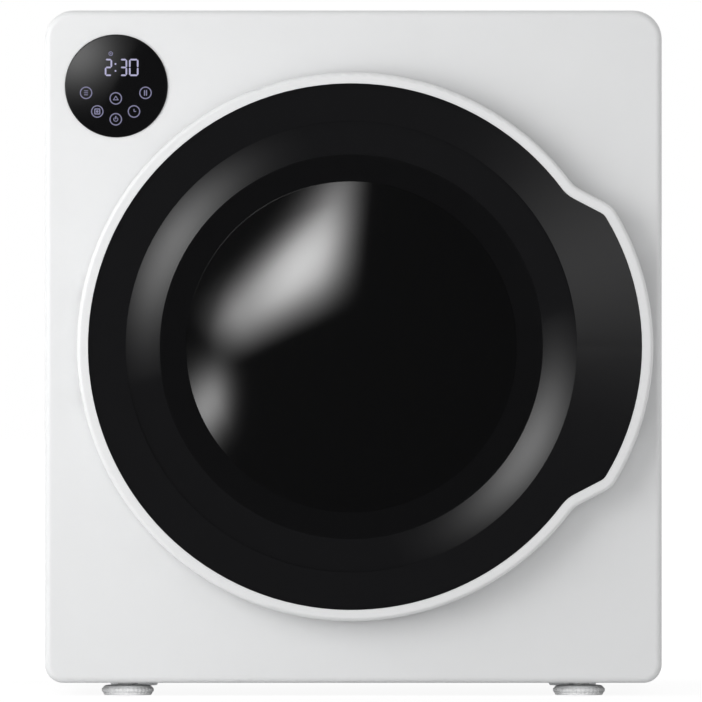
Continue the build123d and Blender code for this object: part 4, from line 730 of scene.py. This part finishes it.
def foot_profile(radius):
    """Radius, share of the height, and whether it is knurled, from the bore's floor to the sole."""
    return [(FOOT_BORE, 0.45, False), (FOOT_BORE, 1.0, False), (0.012, 0.985, False),
            (0.0145, 0.93, False), (0.0175, 0.93, False), (0.0195, 0.965, False),
            (0.0215, 0.93, False), (0.0228, 0.87, False), (radius, 0.6, True),
            (radius, 0.38, True), (0.0238, 0.2, True), (0.0232, 0.06, False),
            (0.0226, 0.0, False), (0.019, 0.0, False), (0.018, 0.06, False),
            (0.012, 0.06, False), (0.011, 0.0, False)]


def add_foot(node, body, material):
    """A foot with a knurled edge and a ribbed sole, in place of the plain one."""
    low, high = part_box(node)
    centre = (low + high) / 2
    profile = foot_profile((high.x - low.x) / 2)
    sides = KNURL_LOBES * 4
    vertices = []
    for reach, share, knurled in profile:
        for side in range(sides):
            cut = KNURL_CUT if knurled and side % 4 in (2, 3) else 0.0
            x, y = round_point((centre.x, centre.y), reach - cut, math.tau * side / sides)
            vertices.append((x, y, low.z + (high.z - low.z) * share))
    made = piece(node + "_knurled", vertices, ring_faces(len(profile), sides), material)
    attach(made, body)
    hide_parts(node)


def add_pieces(finishes):
    """Everything that the CAD leaves plain."""
    add_display()
    bodies = frame["record"]["behaviour"]["bodies"]
    body_of = {node: body for body, nodes in bodies.items() for node in nodes}
    for node in ("cabinet_screws", "door_screws", "hinge_screws"):
        add_screws(node, body_of[node], finishes["steel"])
    for node in [name for name in frame["nodes"] if name.startswith("foot_pad_")]:
        add_foot(node, body_of[node], finishes["foot_plastic"])


# ---------------------------------------------------------------- studio

def seen_by(tree):
    """1 for the camera's rays, and 1 for those that gloss and glass send on."""
    ray = add(tree, "ShaderNodeLightPath").outputs
    mirrored = calc(tree, "MAXIMUM", ray["Is Glossy Ray"], ray["Is Transmission Ray"])
    return ray["Is Camera Ray"], mirrored


def add_world():
    """White for the camera, even light for matt surfaces, and for the rest white with a dim front."""
    world = bpy.data.worlds.new("studio")
    bpy.context.scene.world = world
    world.use_nodes = True
    tree = world.node_tree
    tree.nodes.clear()
    output = add(tree, "ShaderNodeOutputWorld")
    direction = parts_of(tree, add(tree, "ShaderNodeTexCoord").outputs["Generated"])
    studio = remap(tree, direction["Y"], *WORLD_TURN, STUDIO_DIM, 1.0, smooth=True)
    camera, mirrored = seen_by(tree)
    plain = calc(tree, "SUBTRACT", 1.0, mirrored)
    level = calc(tree, "MULTIPLY_ADD", mirrored, studio, calc(tree, "MULTIPLY", plain, AMBIENT))
    level = calc(tree, "MULTIPLY_ADD", calc(tree, "SUBTRACT", 1.0, camera), level, camera)
    background = add(tree, "ShaderNodeBackground")
    background.inputs["Color"].default_value = (1.0, 1.0, 1.0, 1.0)
    put(tree, level, background.inputs["Strength"])
    put(tree, background.outputs["Background"], output.inputs["Surface"])


def lamp(name, place_at, aim_at, size, power):
    """A soft square lamp."""
    data = bpy.data.lights.new(name, "AREA")
    data.size = size
    data.energy = power
    lamp_object = bpy.data.objects.new(name, data)
    bpy.context.scene.collection.objects.link(lamp_object)
    lamp_object.location = place_at
    lamp_object.rotation_mode = "QUATERNION"
    lamp_object.rotation_quaternion = (Vector(aim_at) - Vector(place_at)).to_track_quat("-Z", "Y")
    return lamp_object


def add_floor():
    """A white floor with a share of the object's shadow, and as dim in front as the world."""
    material, tree, output = new_material("floor_white")
    behind = remap(tree, parts_of(tree, place(tree))["Y"], *FLOOR_TURN, STUDIO_DIM, 1.0, smooth=True)
    distance = vector_calc(tree, "LENGTH", place(tree))
    shaded = remap(tree, distance, *SHADOW_FADE, SHADOW_SHARE, 0.0, smooth=True)
    camera, mirrored = seen_by(tree)
    share = calc(tree, "MULTIPLY_ADD", camera, calc(tree, "SUBTRACT", 1.0, shaded), mirrored)
    level = calc(tree, "MAXIMUM", calc(tree, "MULTIPLY", camera, FLOOR_LIFT), behind)
    matt = add(tree, "ShaderNodeBsdfDiffuse")
    matt.inputs["Color"].default_value = (FLOOR_WHITE, FLOOR_WHITE, FLOOR_WHITE, 1.0)
    plain = add(tree, "ShaderNodeEmission")
    put(tree, level, plain.inputs["Strength"])
    both = add(tree, "ShaderNodeMixShader")
    for index, value in enumerate((share, matt.outputs[0], plain.outputs[0])):
        put(tree, value, both.inputs[index])
    put(tree, both.outputs[0], output.inputs["Surface"])
    half = FLOOR_HALF
    corners = [(-half, -half, 0), (half, -half, 0), (half, half, 0), (-half, half, 0)]
    piece("floor", corners, [(0, 1, 2, 3)], material)


def shine_only_on(source, objects):
    """Limits a light to some objects."""
    receivers = bpy.data.collections.new(source.name + "_receivers")
    for receiver in objects:
        receivers.objects.link(receiver)
    source.light_linking.receiver_collection = receivers


def shine_past(source, objects):
    """Keeps a light off some objects."""
    shine_only_on(source, objects)
    for link in source.light_linking.receiver_collection.collection_objects:
        link.light_linking.link_state = "EXCLUDE"


def add_lamps():
    """Two lamps that pass by the door's face, which has lights of its own, and one for the feet."""
    door_face = [frame["nodes"]["door_trim"]]
    shine_past(lamp("key", KEY_PLACE, LAMP_TARGET, KEY_SIZE, KEY_POWER), door_face)
    shine_past(lamp("fill", FILL_PLACE, LAMP_TARGET, FILL_SIZE, FILL_POWER), door_face)
    feet = [thing for thing in bpy.data.objects
            if thing.name.startswith("foot_") and thing.type == "MESH"]
    foot_fill = lamp("foot_fill", FOOT_FILL_PLACE, FOOT_FILL_TARGET, FOOT_FILL_SIZE, FOOT_FILL_POWER)
    shine_only_on(foot_fill, feet)


def soft_edges(tree, corners, blur):
    """A mask of 1 inside a convex outline, given anticlockwise in (x, z), with blurred edges."""
    position = parts_of(tree, place(tree))
    mask = 1.0
    for (x, z), (next_x, next_z) in zip(corners, corners[1:] + corners[:1]):
        length = math.hypot(next_x - x, next_z - z)
        across_x = -(next_z - z) / length
        across_z = (next_x - x) / length
        start = calc(tree, "MULTIPLY_ADD", position["X"], across_x, -(x * across_x + z * across_z))
        inside = calc(tree, "MULTIPLY_ADD", position["Z"], across_z, start)
        edge = remap(tree, inside, -blur, blur, 0.0, 1.0, smooth=True)
        mask = calc(tree, "MULTIPLY", mask, edge)
    return mask


def turned_offset(tree, centre, angle):
    """The offset in X and Z from a centre, as its parts along and across a direction."""
    position = parts_of(tree, place(tree))
    x = calc(tree, "SUBTRACT", position["X"], centre[0])
    z = calc(tree, "SUBTRACT", position["Z"], centre[1])
    along = calc(tree, "MULTIPLY_ADD", x, math.cos(angle), calc(tree, "MULTIPLY", z, math.sin(angle)))
    across = calc(tree, "MULTIPLY_ADD", z, math.cos(angle), calc(tree, "MULTIPLY", x, -math.sin(angle)))
    return along, across


def bell(tree, *offsets):
    """A falloff from 1, by offsets that are in spreads of it."""
    square = 0.0
    for offset in offsets:
        square = calc(tree, "MULTIPLY_ADD", offset, offset, square)
    return calc(tree, "EXPONENT", calc(tree, "MULTIPLY", square, -1.0))


def glow_spot(tree, centre, radii, slope):
    """A round falloff from 1 at a centre, stretched by its two radii and turned by a slope in radians."""
    offset = turned_offset(tree, centre, slope)
    return bell(tree, *(calc(tree, "DIVIDE", part, radius) for part, radius in zip(offset, radii)))


def glow_polar(tree, centre, angle, spread):
    """A falloff from 1 by the angle off a direction at a centre, and the distance from it."""
    along, across = turned_offset(tree, centre, angle)
    off = calc(tree, "DIVIDE", calc(tree, "ARCTAN2", across, along), spread)
    square = calc(tree, "MULTIPLY_ADD", along, along, calc(tree, "MULTIPLY", across, across))
    return bell(tree, off), calc(tree, "SQRT", square)


def squareness(tree, low, high):
    """A gate by how square to the panel a ray leaves it: 0 at the first cosine, 1 at the second."""
    leaving = parts_of(tree, add(tree, "ShaderNodeNewGeometry").outputs["Incoming"])
    return remap(tree, calc(tree, "ABSOLUTE", leaving["Y"]), low, high, 0.0, 1.0, smooth=True)


def glow_panel(name, centre, half, distance, paint, receiver):
    """A soft panel in front of the door's face that only gloss on its receiver shows."""
    material, tree, output = new_material(name)
    glow = add(tree, "ShaderNodeEmission")
    put(tree, paint(tree), glow.inputs["Strength"])
    both = add(tree, "ShaderNodeAddShader")
    put(tree, glow.outputs[0], both.inputs[0])
    put(tree, add(tree, "ShaderNodeBsdfTransparent").outputs[0], both.inputs[1])
    put(tree, both.outputs[0], output.inputs["Surface"])
    x, z = centre
    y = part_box("door_trim")[0].y - distance
    corners = [(x - half, y, z - half), (x - half, y, z + half),
               (x + half, y, z + half), (x + half, y, z - half)]
    panel = piece(name, corners, [(0, 1, 2, 3)], material)
    panel.visible_camera = False
    panel.visible_diffuse = False
    panel.visible_transmission = False
    panel.visible_shadow = False
    shine_only_on(panel, [frame["nodes"][receiver]])


def thrown(start, turn, distance):
    """Where, in X and Z, the camera's ray lands on a panel after a turn at a point of the door's face."""
    return tuple(at + distance * math.tan(angle + (at - aim) / CAMERA_DISTANCE)
                 for at, angle, aim in zip(start, turn, (AIM_X, AIM_Z)))


def seen_in_window(x, z):
    """Where a panel's point must be to be seen in the domed window at an offset from its middle."""
    low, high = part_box("door_window")
    radius = (high.x - low.x) / 2 - WINDOW_FLANGE
    sphere = (radius ** 2 + WINDOW_RISE ** 2) / (2 * WINDOW_RISE)
    centre_x, centre_z = middle_of("door_window")
    turn = (2 * x / sphere, 2 * z / sphere)
    return thrown((centre_x + x, centre_z + z), turn, WINDOW_GLOW_DISTANCE)


def add_window_glow():
    """The two blurred studio lights that the domed window shows."""
    step = 0.1
    growth = (seen_in_window(step, 0.0)[0] - seen_in_window(0.0, 0.0)[0]) / step
    corners = [seen_in_window(*corner) for corner in WINDOW_GLOW]
    core = seen_in_window(*GLOW_CORE)
    side = seen_in_window(*SIDE_GLOW)

    def paint(tree):
        core_spot = glow_spot(tree, core, scaled(GLOW_CORE_RADII, growth), GLOW_CORE_SLOPE)
        body = calc(tree, "MULTIPLY_ADD", core_spot, GLOW_CORE_STRENGTH, WINDOW_GLOW_STRENGTH)
        body = calc(tree, "MULTIPLY", body, soft_edges(tree, corners, WINDOW_GLOW_BLUR * growth))
        side_spot = glow_spot(tree, side, scaled(SIDE_GLOW_RADII, growth), SIDE_GLOW_SLOPE)
        return calc(tree, "MULTIPLY_ADD", side_spot, SIDE_GLOW_STRENGTH, body)

    middle = seen_in_window(*WINDOW_GLOW_MIDDLE)
    glow_panel("window_glow", middle, WINDOW_GLOW_HALF * growth, WINDOW_GLOW_DISTANCE, paint,
               "door_window")


def add_door_glow():
    """The two lights seen in the bevel, and the sheen on the upper right of the face."""
    centre = middle_of("door_window")
    start = BEVEL_BRIGHT_RADIUS
    middle = thrown(centre, (0.0, 0.0), BEVEL_GLOW_DISTANCE)
    reach = AIM_X - thrown((AIM_X + start, AIM_Z), (-2 * BEVEL_TILT, 0.0), BEVEL_GLOW_DISTANCE)[0]
    for degrees in BEVEL_ANGLES:
        angle = math.radians(degrees) + math.pi

        def paint(tree, angle=angle):
            fall, radius = glow_polar(tree, middle, angle, BEVEL_SPREAD)
            off = calc(tree, "DIVIDE", calc(tree, "SUBTRACT", radius, reach), BEVEL_FADE)
            level = calc(tree, "MULTIPLY", calc(tree, "MULTIPLY", fall, bell(tree, off)), BEVEL_STRENGTH)
            return calc(tree, "MULTIPLY", level, squareness(tree, *SLANTED))

        glow_panel("bevel_glow_%d" % degrees, round_point(middle, reach, angle), BEVEL_GLOW_HALF,
                   BEVEL_GLOW_DISTANCE, paint, "door_trim")

    middle_of_sheen = thrown(centre, (0.0, 0.0), SHEEN_DISTANCE)

    def paint_sheen(tree):
        fall, radius = glow_polar(tree, middle_of_sheen, SHEEN_ANGLE, SHEEN_SPREAD)
        outer = remap(tree, radius, BEVEL_OUTER_RADIUS, BEVEL_OUTER_RADIUS * SHEEN_EDGE,
                      0.0, SHEEN_STRENGTH, smooth=True)
        return calc(tree, "MULTIPLY", calc(tree, "MULTIPLY", fall, outer), squareness(tree, *STRAIGHT))

    at = (middle_of_sheen[0] + SHEEN_OFFSET[0], middle_of_sheen[1] + SHEEN_OFFSET[1])
    glow_panel("sheen_glow", at, SHEEN_HALF, SHEEN_DISTANCE, paint_sheen, "door_trim")


def add_lens_glow():
    """The light with a straight edge that the flat control lens shows."""
    centre_x, centre_z = middle_of("control_lens")

    def seen(x, z):
        return thrown((centre_x + x, centre_z + z), (0.0, 0.0), LENS_GLOW_DISTANCE)

    upper, lower = [seen(*point) for point in LENS_GLOW_EDGE]
    core = seen(*LENS_GLOW_CORE)
    above = (2 * upper[0] - lower[0], 2 * upper[1] - lower[1])
    below = (2 * lower[0] - upper[0], 2 * lower[1] - upper[1])
    left = core[0] - LENS_GLOW_REACH[0]
    outline = [below, above, (left, core[1] + LENS_GLOW_REACH[1]), (left, core[1] - LENS_GLOW_REACH[1])]

    def paint(tree):
        mask = soft_edges(tree, outline, LENS_GLOW_BLUR)
        body = glow_spot(tree, core, LENS_GLOW_RADII, LENS_GLOW_SLOPE)
        return calc(tree, "MULTIPLY", mask, calc(tree, "MULTIPLY", body, LENS_GLOW_STRENGTH))

    glow_panel("lens_glow", core, LENS_GLOW_HALF, LENS_GLOW_DISTANCE, paint, "control_lens")


def add_camera():
    """A long lens square on to the front."""
    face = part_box("front_panel")[0].y
    data = bpy.data.cameras.new("camera")
    data.sensor_width = 36.0
    data.lens = data.sensor_width * CAMERA_DISTANCE / VIEW_WIDTH
    data.clip_start = 0.1
    data.clip_end = 60.0
    camera = bpy.data.objects.new("camera", data)
    bpy.context.scene.collection.objects.link(camera)
    camera.location = (AIM_X, face - CAMERA_DISTANCE, AIM_Z)
    camera.rotation_euler = (math.pi / 2, 0, 0)
    bpy.context.scene.camera = camera


finishes = make_finishes()
dress_nodes(finishes)
add_pieces(finishes)
add_world()
add_floor()
add_lamps()
add_window_glow()
add_door_glow()
add_lens_glow()
add_camera()
bpy.context.scene.view_settings.view_transform = "Standard"
